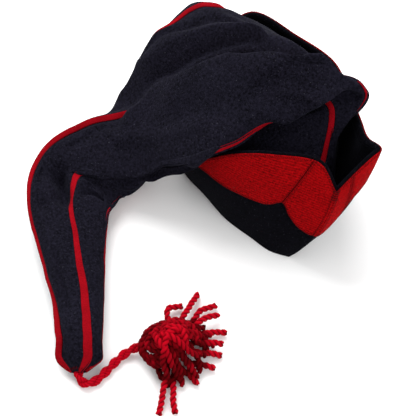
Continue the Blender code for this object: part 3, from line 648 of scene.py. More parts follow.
def makeRed(name, look, pattern=None):
    # a red cloth or yarn: fuzz that roughens it too, its grains and a pattern of its own
    made, graph = newMaterial(name)
    fuzz = graph.grain(*look["fuzz"])
    height = heap(graph, look["grains"], fuzz * look["fuzzShare"])
    if pattern:
        height = height + pattern(graph, look)
    shade = graph.between(heap(graph, [look["tone"]], height), *look["shade"])
    # painted shade in the grooves between the plies and under the yarns that lie above
    if "depth" in look:
        grooveShade = graph.between(graph.kept("yarnDepth"), *look["depth"])
        shade = shade * (1 - look["depthShare"]) + grooveShade * look["depthShare"]
        shade = shade * (1.0 - graph.kept("paintedUnderShade") * look["underShadeShare"])
    return finish(made, graph, look, graph.blend(shade, look["deep"], look["light"]), fuzz, height)


# threads and loose fibres: one colour with a fine grain
plain = {
    "fuzz": (1200.0, 2.0, 0.6),
    "darker": 0.6,
    "rougher": 0.1,
    "bump": (0.0003, 0.6),
    "specular": 0.05,
    "sheen": (0.0, 0.5, (1.0, 1.0, 1.0, 1.0)),
}


def makePlain(name, colour, roughness):
    made, graph = newMaterial(name)
    fine = graph.grain(*plain["fuzz"])
    dark = tuple(part * plain["darker"] for part in colour[:3]) + (1.0,)
    look = {**plain, "roughness": (plain["rougher"], roughness)}
    return finish(made, graph, look, graph.blend(fine, dark, colour), fine, fine)


materials = {
    "bagWool": makeNavyWool("bagWool", 0.06, 0.55),
    # the band's copy: the same wool as the bag, painted darker as shade
    "bandWoolShaded": makeNavyWool("bandWoolShaded", 0.0, 0.16),
    "facing": makeRed("facingCloth", redFacing, knitted),
    "felt": makeRed("seamFelt", redFelt),
    "yarn": makeRed("tasselYarn", redYarn, spun),
    "redThread": makePlain("redThread", (0.085, 0.0006, 0.0016, 1.0), 0.8),
    "darkThread": makePlain("darkThread", (0.0035, 0.0033, 0.0045, 1.0), 0.8),
    "napDark": makePlain("napDark", (0.022, 0.021, 0.034, 1.0), 0.9),
    "napRed": makePlain("napRed", (0.30, 0.003, 0.008, 1.0), 0.9),
}
print("materials made")


# plain meshes

def addThing(name, data):
    thing = bpy.data.objects.new(name, data)
    bpy.context.scene.collection.objects.link(thing)
    return thing


def settle(piece, slotName, node=None):
    # all pieces ride on the one body, and a detailed one takes its solid's place
    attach(piece, "root")
    if node:
        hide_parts(node)


def addMesh(name, points, faces, material, uv=None):
    mesh = bpy.data.meshes.new(name)
    mesh.from_pydata((points + shift).tolist(), [], faces)
    if uv is not None:
        layer = mesh.uv_layers.new(name="cloth")
        corner = np.zeros(len(mesh.loops), np.int32)
        mesh.loops.foreach_get("vertex_index", corner)
        layer.data.foreach_set("uv", uv[corner].astype(np.float32).ravel())
    mesh.shade_smooth()
    if material:
        mesh.materials.append(material)
    return addThing(name, mesh)


def quads(index):
    corners = (index[:-1, :-1], index[:-1, 1:], index[1:, 1:], index[1:, :-1])
    return np.stack(corners, axis=-1).reshape(-1, 4)


def clothMesh(name, outer, inner, u, v, material):
    # a closed wall between two grids of points
    under = u.size
    index = np.arange(under).reshape(u.shape)
    edges = (
        (index[0, 1:], index[0, :-1]),
        (index[-1, :-1], index[-1, 1:]),
        (index[:-1, 0], index[1:, 0]),
        (index[1:, -1], index[:-1, -1]),
    )
    walls = [np.stack([first, second, second + under, first + under], axis=-1) for first, second in edges]
    faces = np.concatenate([quads(index), quads(index)[:, ::-1] + under, *walls]).tolist()
    points = np.concatenate([outer.reshape(-1, 3), inner.reshape(-1, 3)])
    uv = np.stack([u.ravel(), v.ravel()], axis=-1)
    return addMesh(name, points, faces, material, np.concatenate([uv, uv]))


def rowsCut(rows, parts):
    # each step of the rows cut into equal parts
    steps = np.arange(len(rows))
    return np.interp(np.linspace(0, len(rows) - 1, (len(rows) - 1) * parts + 1), steps, rows)


# the bag: four gores and the strips between them
bag = {
    "rows": (
        0, 0.035, 0.07, 0.1, 0.13, 0.155, 0.17, 0.182, 0.192, 0.202, 0.212, 0.222, 0.232, 0.242, 0.252, 0.264,
        0.278, 0.294, 0.312, 0.332, 0.354, 0.376, 0.4, 0.424, 0.45, 0.478, 0.508, 0.54, 0.572, 0.604, 0.636,
        0.664, 0.69, 0.716, 0.75, 0.795, 0.85, 0.9, 0.94, 0.965, 0.986, 1,
    ),
    "rowParts": 4,
    "columns": 56,
    "wall": 0.0020,
    "edgeColumns": (0.0, 0.0005, 0.0011, 0.0020, 0.0034, 0.0052),
    "edgeMost": 0.2,
    "gap": 0.00015,
    "turnedEdge": 0.0004,
    "edgeRound": 0.0016,
    "stripWidth": 0.0058,
    "stripRise": 0.00035,
    "stripCrown": 1.15,
    "tipShare": 0.055,
    "stripColumns": 9,
}
gores = (
    ("goreFrontLeft", "gore_front_left", "front", "left"),
    ("goreBackLeft", "gore_back_left", "left", "back"),
    ("goreBackRight", "gore_back_right", "back", "right"),
    ("goreFrontRight", "gore_front_right", "right", "front"),
)
strips = (
    ("stripFront", "strip_front", "front"),
    ("stripLeft", "strip_left", "left"),
    ("stripBack", "strip_back", "back"),
    ("stripRight", "strip_right", "right"),
)
bagRows = rowsCut(bag["rows"], bag["rowParts"])
bagRings = bagGrid(bagRows[:, None], np.linspace(0, 1, 33))
girth = np.sum(np.linalg.norm(np.diff(bagRings, axis=1), axis=2), axis=1)


def stripReach(name):
    # half a strip's width along its seam, less where the bag is thin
    width = bag["stripWidth"] * smooth(seamBreadth[name], bagRows)[:, 0]
    return np.minimum(width / 2, bag["tipShare"] * girth)


def seamPlace(name):
    return seamTurns[name] + smooth(seamWander[name], bagRows)[:, 0]


def seamFrame(name):
    # a seam's points, the way across it and the way out of it
    step = capForm["nearby"]
    points = bagGrid(bagRows[:, None], seamPlace(name)[:, None] + np.array([-step, 0.0, step]))
    run = unit(np.gradient(points[:, 1], axis=0))
    out = unit(np.cross(points[:, 2] - points[:, 0], run))
    toward = unit(np.cross(run, out))
    roll = smooth(seamRoll[name], bagRows)
    rolledOut = out * np.cos(roll) - toward * np.sin(roll)
    return points[:, 1], toward * np.cos(roll) + out * np.sin(roll), rolledOut


stripHalf = {name: stripReach(name) for name in seamTurns}
seamFrames = {name: seamFrame(name) for name in seamTurns}


def fade(values, low, high, soft):
    # 1 between low and high, falling smoothly to 0 outside them
    rise = np.clip((values - low) / soft, 0, 1)
    fall = np.clip((high - values) / soft, 0, 1)
    share = np.minimum(rise, fall)
    return share * share * (3 - 2 * share)


def belly(name, rows, fromFirst, fromLast):
    push = np.zeros(rows.shape + (3,))
    for gore, side, first, last, fullest, across, away, up in bellies:
        if gore == name:
            apart = (fromFirst if side == "first" else fromLast) / fullest
            weight = apart * np.exp(1 - apart) * fade(rows, first, last, bellyFade)
            push += weight[..., None] * np.array([across, away, up]) * headLength
    return push


def makeGore(name, node, firstSeam, lastSeam):
    firstReach = stripHalf[firstSeam] + bag["gap"]
    lastReach = stripHalf[lastSeam] + bag["gap"]
    edge = np.array(bag["edgeColumns"])
    first = seamPlace(firstSeam)
    last = seamPlace(lastSeam) + (1 if lastSeam == "front" else 0)
    width = ((last - first) * girth - firstReach - lastReach)[:, None]
    near = np.minimum(edge, width * np.linspace(0, bag["edgeMost"], len(edge)))
    start = near[:, -1:] / width
    inside = start + (1 - 2 * start) * np.linspace(0, 1, bag["columns"] + 1)
    share = np.concatenate([near[:, :-1] / width, inside, 1 - near[:, -2::-1] / width], axis=1)
    begin = first + firstReach / girth
    end = last - lastReach / girth
    rows = np.repeat(bagRows[:, None], share.shape[1], axis=1)
    outer = bagGrid(rows, begin[:, None] + (end - begin)[:, None] * share)
    # the edge columns lie square to the seam, and the next few lead over to the surface
    for seam, side, reach in ((firstSeam, 1, firstReach), (lastSeam, -1, lastReach)):
        point, toward, out = seamFrames[seam]
        for k in range(len(edge)):
            laid = point + toward * (side * (reach + near[:, k]))[:, None]
            weight = 1 - fade(np.array(k / len(edge)), 0, 2, 1)
            place = k if side == 1 else -1 - k
            outer[:, place] = laid * weight + outer[:, place] * (1 - weight)
    fromFirst = share * width
    fromLast = (1 - share) * width
    outer = outer + belly(name, rows, fromFirst, fromLast)
    outer[..., 2] = np.maximum(outer[..., 2], capForm["floorGap"])
    out = surfaceOut(outer)
    dip = bag["turnedEdge"] * np.exp(-(np.minimum(fromFirst, fromLast) / bag["edgeRound"]) ** 2)
    inner = outer - out * bag["wall"]
    outer = outer - out * dip[..., None]
    settle(clothMesh(name, outer, inner, fromFirst, rows * capForm["bagLength"], materials["bagWool"]),
           "black_wool", node)


def makeStrip(name, node, seam):
    point, toward, out = seamFrames[seam]
    place = np.sin(np.linspace(-math.pi / 2, math.pi / 2, bag["stripColumns"]))
    lateral = stripHalf[seam][:, None] * place
    crown = bag["stripRise"] * (bag["stripCrown"] - 1.0 * place ** 6)
    face = point[:, None] + toward[:, None] * lateral[..., None]
    outer = face + out[:, None] * crown[None, :, None]
    inner = face - out[:, None] * bag["wall"]
    v = np.repeat(bagRows[:, None], bag["stripColumns"], axis=1) * capForm["bagLength"]
    settle(clothMesh(name, outer, inner, lateral, v, materials["felt"]), "red_wool", node)


for row in gores:
    makeGore(*row)
print("gores made")
for row in strips:
    makeStrip(*row)
print("strips made")


# the band: a turned-up wall with a rolled rim and a stitched hem inside it
band = {
    "wall": 0.0040,
    "rimRound": 0.0021,
    "footRound": 0.0010,
    "hemDepth": 0.0100,
    "hemRise": 0.0009,
    "hemSlope": 0.07,
    "ridges": 3,
    "ridgeDepth": 0.0005,
    "columns": 560,
    "rows": 44,
    "footRows": 4,
    "rimRows": 11,
    "hemRows": 25,
    "underRows": 16,
}


def slanted(turns, levels):
    lift = np.maximum(levels - slantFoot, 0) / (1 - slantFoot)
    for seam, gain in facingSlants:
        turns = turns + gain * lift * np.clip(1 - np.abs(turns - seam) / slantSpan, 0, 1)
    return turns


def bandSurface(turns, levels):
    # points and outward directions on the band's outer face, any shape of grid
    step = 0.002
    flatTurns = turns.ravel()
    flatLevels = levels.ravel()
    point = bandFace(flatTurns, flatLevels)[0]
    sideways = bandFace(flatTurns + step, flatLevels)[0] - bandFace(flatTurns - step, flatLevels)[0]
    upward = bandFace(flatTurns, flatLevels + step)[0] - bandFace(flatTurns, flatLevels - step)[0]
    out = unit(np.cross(sideways, upward))
    return point.reshape(turns.shape + (3,)), out.reshape(turns.shape + (3,))


def bandHeight(turns):
    low = bandFace(turns, np.zeros(len(turns)))[0]
    high = bandFace(turns, np.ones(len(turns)))[0]
    return np.linalg.norm(high - low, axis=1)


def bandProfile():
    # distance down from the rim or up from the foot, and depth behind the outer face, round the wall
    wall = band["wall"]
    rim = band["rimRound"]
    foot = band["footRound"]
    slope = band["hemSlope"]
    quarter = np.linspace(0, math.pi / 2, band["footRows"])
    half = np.linspace(0, math.pi, band["rimRows"])
    profile = [("foot", foot * (1 - math.cos(a)), foot * (1 - math.sin(a))) for a in quarter]
    profile += [("share", share, 0.0) for share in np.linspace(0, 1, band["rows"] + 1)[1:-1]]
    profile += [("rim", rim * (1 - math.sin(a)), wall / 2 - rim * math.cos(a)) for a in half]
    for share in np.linspace(0, 1, band["hemRows"])[1:]:
        ridge = math.sin(share * math.pi * band["ridges"]) ** 2 * band["ridgeDepth"]
        flat = share < 1 - slope
        rise = band["hemRise"] * (1 if flat else (1 - share) / slope)
        profile.append(("rim", rim + (band["hemDepth"] - rim) * share, wall + rise - ridge * flat))
    profile += [("under", share, wall) for share in np.linspace(1, 0, band["underRows"])[1:-1]]
    return profile + [("foot", foot * (1 - math.sin(a)), wall - foot * (1 - math.cos(a))) for a in quarter]


def makeBand():
    turns = np.linspace(0, 1, band["columns"] + 1)[:-1]
    height = bandHeight(turns)
    foot = band["footRound"] / height
    top = 1 - band["rimRound"] / height
    rings = []
    ups = []
    for kind, amount, depth in bandProfile():
        if kind == "foot":
            level = amount / height
        elif kind == "rim":
            level = 1 - amount / height
        elif kind == "share":
            level = foot + (top - foot) * amount
        else:
            level = amount * (1 - band["hemDepth"] / height)
        point, out = bandSurface(turns, level)
        ring = point - out * depth
        ring[:, 2] = np.maximum(ring[:, 2], 0.0)
        rings.append(ring)
        ups.append(level * height - depth)
    grid = np.array(rings)
    rows, columns = grid.shape[:2]
    index = np.pad(np.arange(rows * columns).reshape(rows, columns), (0, 1), mode="wrap")
    step = np.linalg.norm(np.roll(grid[0], -1, axis=0) - grid[0], axis=1)
    u = np.tile(np.cumsum(step) - step, rows)
    uv = np.stack([u, np.array(ups).ravel()], axis=-1)
    piece = addMesh("capBand", grid.reshape(-1, 3), quads(index).tolist(), materials["bandWoolShaded"], uv)
    settle(piece, "black_wool", "band")


makeBand()
print("band made")


# the facing: four pieces with rolled edges and a stitched line inside them
facing = {
    "pieces": (
        ("facingFrontLeft", "facing_front_left", 0.000, 0.038),
        ("facingSideLeft", "facing_side_left", 0.038, 0.500),
        ("facingSideRight", "facing_side_right", 0.500, 0.962),
        ("facingFrontRight", "facing_front_right", 0.962, 1.000),
    ),
    "cloth": 0.0013,
    "lift": 0.0004,
    "gap": 0.0003,
    "rimBare": 0.0018,
    "edgeRound": 0.0011,
    "edgeFine": 0.002,
    "edgeRows": (0, 0.1, 0.25, 0.5),
    "edgeThin": 0.85,
    "stitchIn": 0.0026,
    "stitchBreadth": 0.0007,
    "stitchDepth": 0.0004,
    "rows": 44,
    "columnStep": 0.0014,
    "leastColumns": 8,
    "measuredLevel": 0.8,
    "measuredPoints": 200,
}


def facingGrid(first, last):
    # turns and levels over one piece, fine near its edges, with each point's distance to the edge
    span = np.linspace(first, last, facing["measuredPoints"])
    line = bandFace(span, np.full(len(span), facing["measuredLevel"]))[0]
    walked = np.append(0, np.cumsum(np.linalg.norm(np.diff(line, axis=0), axis=1)))
    length = walked[-1]
    fine = np.array(facing["edgeRows"])
    edge = facing["edgeFine"] / length
    ease = np.linspace(0, 1, int(length / facing["columnStep"]) + facing["leastColumns"])
    share = np.concatenate([edge * fine, edge + (1 - 2 * edge) * ease, 1 - edge * fine[::-1]])
    columns = first + (last - first) * share
    low = smooth(facingEdge, columns)[:, 0]
    height = bandHeight(columns)
    top = 1 - facing["rimBare"] / height
    tall = (top - low) * height
    lower = (fine * facing["edgeFine"])[:, None] / tall
    inside = facing["edgeFine"] / tall
    body = inside + (1 - 2 * inside) * np.linspace(0, 1, facing["rows"])[:, None]
    up = np.concatenate([lower, body, 1 - lower[::-1]], axis=0)
    levels = low + (top - low) * up
    turns = slanted(np.repeat(columns[None, :], len(up), axis=0), levels)
    speed = length / (last - first)
    turns = turns + facing["gap"] / 2 / speed * (1 - 2 * share)
    start = slanted(np.full(levels.shape, first), levels)
    end = slanted(np.full(levels.shape, last), levels)
    sideways = np.minimum(turns - start, end - turns) * speed
    inward = np.minimum(sideways, np.minimum(up, 1 - up) * tall)
    return turns, levels, inward, np.interp(columns, span, walked), levels * height


def makeFacing(name, node, first, last):
    turns, levels, inward, across, upward = facingGrid(first, last)
    point, out = bandSurface(turns, levels)
    roundOver = np.clip(1 - inward / facing["edgeRound"], 0, 1)
    thick = facing["cloth"] * np.sqrt(np.clip(1 - roundOver ** 2 * facing["edgeThin"], 0, 1))
    groove = np.exp(-((inward - facing["stitchIn"]) / facing["stitchBreadth"]) ** 2) * facing["stitchDepth"]
    outer = point + out * (facing["lift"] + thick - groove)[..., None]
    inner = point + out * facing["lift"]
    u = np.repeat(across[None, :], len(levels), axis=0)
    settle(clothMesh(name, outer, inner, u, upward, materials["facing"]), "red_wool", node)


for row in facing["pieces"]:
    makeFacing(*row)
print("facing made")


# geometry trees for what repeats

def newTree(name, **inputs):
    tree = bpy.data.node_groups.new(name, "GeometryNodeTree")
    tree.interface.new_socket("Geometry", in_out="INPUT", socket_type="NodeSocketGeometry")
    tree.interface.new_socket("Geometry", in_out="OUTPUT", socket_type="NodeSocketGeometry")
    for label, kind in inputs.items():
        tree.interface.new_socket(label, in_out="INPUT", socket_type="NodeSocket" + kind)
    graph = Graph(tree)
    return graph, graph.add("NodeGroupInput")


def closeTree(graph, geometry, entry):
    real = graph.add("GeometryNodeRealizeInstances", {"Geometry": geometry})
    coloured = graph.add("GeometryNodeSetMaterial", {"Geometry": real, "Material": entry.out("material")})
    graph.add("NodeGroupOutput", {"Geometry": coloured})
    return graph.tree


def runTree(tree, source, name, values):
    # the tree's result on the source as a plain mesh object, the source removed
    modifier = source.modifiers.new("made", "NODES")
    modifier.node_group = tree
    for item in tree.interface.items_tree:
        if item.in_out == "INPUT" and item.name in values:
            modifier[item.identifier] = values[item.name]
    source.update_tag()
    mesh = bpy.data.meshes.new_from_object(source.evaluated_get(bpy.context.evaluated_depsgraph_get()))
    mesh.name = name
    old = source.data
    bpy.data.objects.remove(source)
    bpy.data.meshes.remove(old)
    return addThing(name, mesh)


def addValues(mesh, name, values):
    layer = mesh.attributes.new(name, "FLOAT", "POINT")
    layer.data.foreach_set("value", np.asarray(values, np.float32))


def pathMesh(name, lines, ups=None, phases=None):
    # polylines as one mesh of edges, with the surface's way out or each yarn's own turn kept on their points
    edges = []
    at = 0
    for line in lines:
        edges += [(at + k, at + k + 1) for k in range(len(line) - 1)]
        at += len(line)
    mesh = bpy.data.meshes.new(name)
    mesh.from_pydata((np.concatenate(lines) + shift).tolist(), edges, [])
    if ups is not None:
        layer = mesh.attributes.new("up", "FLOAT_VECTOR", "POINT")
        layer.data.foreach_set("vector", np.concatenate(ups).astype(np.float32).ravel())
    if phases is not None:
        addValues(mesh, "phase", np.repeat(phases, [len(line) for line in lines]))
    return addThing(name, mesh)


def stitchTree():
    # small arched threads set along paths, turned by a slant
    graph, entry = newTree("stitchLine", pitch="Float", length="Float", thickness="Float", arch="Float",
                           slant="Float", material="Material")
    half = entry.out("length") * 0.5
    low = entry.out("arch") * -1.0
    arch = graph.add("GeometryNodeCurveQuadraticBezier", {
        "Resolution": 6,
        "Start": graph.add("ShaderNodeCombineXYZ", {"X": half * -1.0, "Z": low}),
        "Middle": graph.add("ShaderNodeCombineXYZ", {"Z": entry.out("arch") * 2.0}),
        "End": graph.add("ShaderNodeCombineXYZ", {"X": half, "Z": low})})
    thread = graph.tube(arch, graph.ring(6, entry.out("thickness") * 0.5))
    path = graph.add("GeometryNodeMeshToCurve", {"Mesh": entry})
    spots = graph.add("GeometryNodeCurveToPoints", {
        "Curve": path, "Length": entry.out("pitch")}, mode="LENGTH")
    stand = graph.add("FunctionNodeAlignRotationToVector", {
        "Vector": graph.read("up", "FLOAT_VECTOR")}, axis="Z")
    aim = graph.add("FunctionNodeAlignRotationToVector", {
        "Rotation": stand, "Vector": spots.out("Tangent")}, axis="X", pivot_axis="Z")
    turn = graph.add("ShaderNodeCombineXYZ", {"Z": entry.out("slant")})
    slant = graph.add("FunctionNodeEulerToRotation", {"Euler": turn})
    way = graph.add("FunctionNodeRotateRotation", {
        "Rotation": aim, "Rotate By": slant}, rotation_space="LOCAL")
    placed = graph.add("GeometryNodeInstanceOnPoints", {
        "Points": spots.out("Points"), "Instance": thread, "Rotation": way})
    return closeTree(graph, placed, entry)


def yarnTree():
    # plies twisted round paths, each a round tube with its own length and turn kept for the finish
    graph, entry = newTree("twistedYarn", plies="Int", plyRadius="Float", twistRadius="Float",
                           twistPitch="Float", step="Float", sides="Int", material="Material")
    path = graph.add("GeometryNodeMeshToCurve", {"Mesh": entry})
    even = graph.add("GeometryNodeResampleCurve", {"Curve": path, "Length": entry.out("step")}, mode="LENGTH")
    even = graph.store(even, "yarnAlong", graph.add("GeometryNodeSplineParameter").out("Length"))
    here = graph.add("GeometryNodeInputPosition")
    core = graph.store(even, "yarnCore", here, "FLOAT_VECTOR")
    plies = graph.add("GeometryNodeDuplicateElements", {
        "Geometry": core, "Amount": entry.out("plies")}, domain="SPLINE")
    share = plies.out("Duplicate Index") / entry.out("plies")
    turns = graph.read("yarnAlong") / entry.out("twistPitch") + share + graph.read("phase")
    angle = turns * (2 * math.pi)
    normal = graph.add("GeometryNodeInputNormal")
    side = graph.vector("CROSS_PRODUCT", graph.add("GeometryNodeInputTangent"), normal)
    twist = entry.out("twistRadius")
    offset = graph.vector("ADD", graph.scaled(normal, angle.cosine() * twist),
                          graph.scaled(side, angle.sine() * twist))
    moved = graph.add("GeometryNodeSetPosition", {"Geometry": plies.out("Geometry"), "Offset": offset})
    ring = graph.ring(entry.out("sides"), entry.out("plyRadius"))
    tube = graph.tube(moved, graph.store(ring, "yarnAround", graph.add("GeometryNodeSplineParameter")))
    # each point's distance out from its yarn's core, kept for the painted shade between the plies
    apart = graph.vector("DISTANCE", here, graph.read("yarnCore", "FLOAT_VECTOR")).out("Value")
    depth = graph.store(tube, "yarnDepth", apart / (entry.out("plyRadius") + twist))
    return closeTree(graph, graph.add("GeometryNodeSetShadeSmooth", {"Geometry": depth}), entry)


# a loose fibre: foot below the cloth, bend and tip in shares of its length, tilt and sizes at random
napFibre = {
    "foot": (0.0, 0.0, -0.0002),
    "bendUp": 0.7,
    "tip": (0.8, 0.6),
    "steps": 3,
    "sides": 3,
    "turn": (0.7, 0.7, 3.14),
    "sizes": (0.5, 1.3),
    "sizeSeed": 7,
}


def napTree():
    # short bent fibres that stand out of a cloth's face
    graph, entry = newTree("napFibres", density="Float", length="Float", thickness="Float", seed="Int",
                           material="Material")
    spots = graph.add("GeometryNodeDistributePointsOnFaces", {
        "Mesh": entry, "Density": entry.out("density"), "Seed": entry.out("seed")})
    reach = entry.out("length")
    across, up = napFibre["tip"]
    bent = graph.add("GeometryNodeCurveQuadraticBezier", {
        "Resolution": napFibre["steps"],
        "Start": napFibre["foot"],
        "Middle": graph.add("ShaderNodeCombineXYZ", {"Z": reach * napFibre["bendUp"]}),
        "End": graph.add("ShaderNodeCombineXYZ", {"X": reach * across, "Z": reach * up})})
    fibre = graph.tube(bent, graph.ring(napFibre["sides"], entry.out("thickness") * 0.5))
    most = napFibre["turn"]
    spin = graph.add("FunctionNodeRandomValue", {
        0: tuple(-part for part in most), 1: most, "Seed": entry.out("seed")}, data_type="FLOAT_VECTOR")
    turned = graph.add("FunctionNodeEulerToRotation", {"Euler": spin.out("Value")})
    lie = graph.add("FunctionNodeRotateRotation", {
        "Rotation": spots.out("Rotation"), "Rotate By": turned}, rotation_space="LOCAL")
    least, most = napFibre["sizes"]
    scale = graph.add("FunctionNodeRandomValue", {
        2: least, 3: most, "Seed": napFibre["sizeSeed"]}, data_type="FLOAT").out(1)
    placed = graph.add("GeometryNodeInstanceOnPoints", {
        "Points": spots.out("Points"), "Instance": fibre, "Rotation": lie, "Scale": scale})
    return closeTree(graph, placed, entry)


trees = {"stitch": stitchTree(), "yarn": yarnTree(), "nap": napTree()}
print("geometry trees made")


# the cord: two thick yarns laid round each other, each of three plies
cord = {
    "radius": 0.0045,
    "yarnOffset": 0.0020,
    "yarnPitch": 0.024,
    "phases": (0.0, 0.4),
    "points": 90,
    "yarn": {"plies": 3, "plyRadius": 0.00130, "twistRadius": 0.00122, "twistPitch": 0.0085, "step": 0.0008,
             "sides": 10},
    # across and away in shares of the head's length, up in shares of the cord's radius
    "route": (
        (-0.667, -1.0322, 2.07), (-0.6668, -1.04, 1.94), (-0.665, -1.048, 1.76), (-0.6615, -1.056, 1.52),
        (-0.6555, -1.063, 1.28), (-0.6465, -1.0685, 1.12), (-0.635, -1.0715, 1.06), (-0.623, -1.0705, 1.05),
        (-0.611, -1.066, 1.05), (-0.598, -1.057, 1.05), (-0.585, -1.045, 1.05), (-0.572, -1.031, 1.05),
        (-0.559, -1.016, 1.05), (-0.546, -1, 1.05), (-0.533, -0.984, 1.05), (-0.519, -0.968, 1.05),
        (-0.504, -0.953, 1.08), (-0.487, -0.94, 1.2), (-0.469, -0.93, 1.42), (-0.451, -0.923, 1.7),
        (-0.4335, -0.919, 1.95),
    ),
}


def reachAlong(points):
    return np.concatenate([[0], np.cumsum(np.linalg.norm(np.diff(points, axis=0), axis=1))])


def evenPath(points, count):
    reach = reachAlong(points)
    return smooth(np.column_stack([reach, points]), np.linspace(0, reach[-1], count))


def paintedUnderShade(points, reach, slope, depth):
    # painted shade under other yarns: 0 on the topmost yarns, up to 1 where others lie close above
    flat = points[:, :2]
    apart = np.linalg.norm(flat[:, None] - flat[None, :], axis=2)
    above = points[None, :, 2] - points[:, 2, None] - apart * slope
    return np.clip(np.max(np.where(apart < reach, above, 0), axis=1) / depth, 0, 1)


def makeYarn(name, source, values, node):
    piece = runTree(trees["yarn"], source, name, {**values, "material": materials["yarn"]})
    settle(piece, "red_yarn", node)
    return piece


def makeCord():
    size = np.array([headLength, headLength, cord["radius"]])
    path = evenPath(np.array(cord["route"]) * size, cord["points"])
    reach = reachAlong(path)
    along = unit(np.gradient(path, axis=0))
    side = unit(np.cross(along, np.array([0.0, 0.0, 1.0])))
    over = np.cross(side, along)
    lines = []
    for k in range(2):
        angle = (2 * math.pi * (reach / cord["yarnPitch"] + k / 2))[:, None]
        lines.append(path + (side * np.cos(angle) + over * np.sin(angle)) * cord["yarnOffset"])
    piece = makeYarn("tasselCord", pathMesh("cordPath", lines, phases=cord["phases"]), cord["yarn"], "cord")
    return piece, path + shift, reach[-1]


# the tassel: thick twisted yarns that spring from a knot, cover its head and end on the table
tassel = {
    "middle": (-0.305, -0.925),
    "head": (0.122, 0.112, 0.075),
    "yarnRadius": 0.0031,
    "yarn": {"plies": 2, "plyRadius": 0.00185, "twistRadius": 0.00135, "twistPitch": 0.0108, "step": 0.0016,
             "sides": 8},
    "waver": (0.0026, 0.0026, 0.0030),
    "waverLength": 0.017,
    "waverApart": (7.3, 3.1, 0.0),
    "shadeReach": 0.0075,
    "shadeSlope": 0.35,
    "shadeDepth": 0.0060,
    "seed": 11,
    "reach": 1.34,
    "pole": (-0.42, 0.02),
    "points": 40,
    "lockSpread": 0.12,
    "lockEase": 0.4,
    "lockLifts": (-0.6, -0.2),
    # cut ends: how many, first bearing, how far round and how loosely in degrees, reach, bow, spread, lift
    "fans": 14,
    "fanBearing": (-75, 165, 8),
    "fanReach": (1.0, 1.42),
    "fanBow": 0.3,
    "fanBends": (0.45, 0.28, 0.6, 0.75),
    "fanSpread": 0.2,
    "fanLift": (-0.8, 1.3),
    # loops: how many, least and further breadth, begin and swing in degrees, drift, lift, farthest place
    "loops": 7,
    "loopWide": (0.24, 0.62),
    "loopBegin": (20, 70),
    "loopSwing": (200, 280),
    "loopDrift": 0.16,
    "loopLift": (-0.2, 0.8),
    "loopMost": 0.94,
    "loopPoints": 9,
    "crossLifts": (1.3, 0.9),
    # yarns that lie over all the others: begin, two bends and end, in shares of the head's half sizes
    "crossings": (
        ((-0.35, -0.1), (-0.15, 0.55), (0.35, 0.6), (0.62, 0.05)),
        ((-0.2, 0.15), (0.1, 0.75), (0.6, 0.55), (0.85, -0.05)),
        ((-0.5, -0.25), (-0.1, 0.2), (0.25, 0.25), (0.5, -0.25)),
        ((-0.55, 0.2), (-0.3, -0.35), (0, -0.8), (0.2, -1.15)),
        ((-0.1, -0.05), (-0.25, -0.5), (-0.2, -1), (-0.1, -1.4)),
    ),
    # locks: begin, bend and end in shares of the head's length, first and last height in yarn radii
    "locks": (
        (-0.318, -0.85, -0.316, -0.738, -0.272, -0.722, 4, 1.2),
        (-0.3, -0.85, -0.245, -0.755, -0.205, -0.665, 4.5, 1.6),
        (-0.27, -0.86, -0.2, -0.765, -0.13, -0.72, 3.5, 1.3),
        (-0.25, -0.87, -0.19, -0.81, -0.12, -0.775, 5, 2.6),
        (-0.23, -0.885, -0.165, -0.85, -0.085, -0.85, 4, 1.3),
        (-0.23, -0.915, -0.165, -0.905, -0.1, -0.905, 5, 2.2),
        (-0.235, -0.945, -0.17, -0.95, -0.11, -0.95, 3.5, 1.3),
        (-0.25, -0.985, -0.19, -1, -0.135, -1.01, 4, 1.2),
        (-0.275, -1.01, -0.24, -1.04, -0.2, -1.065, 3.5, 1.2),
        (-0.325, -1, -0.335, -1.11, -0.345, -1.195, 4, 1.2), (-0.3, -1, -0.295, -1.11, -0.288, -1.19, 3, 1.1),
        (-0.365, -0.99, -0.335, -1.05, -0.275, -1.045, 2.5, 1.2),
    ),
}


def overHead(across, away, lift):
    # a point over the tassel's head, from its place across and away in shares of the head's half sizes
    half = np.array(tassel["head"]) * headLength
    fall = (across ** 2 + away ** 2) / tassel["reach"] ** 2
    height = max(2 * half[2] * (1 - fall) - tassel["yarnRadius"] * (1 - lift), tassel["yarnRadius"])
    middle = np.array(tassel["middle"]) * headLength
    return np.array([middle[0] + across * half[0], middle[1] + away * half[1], height])


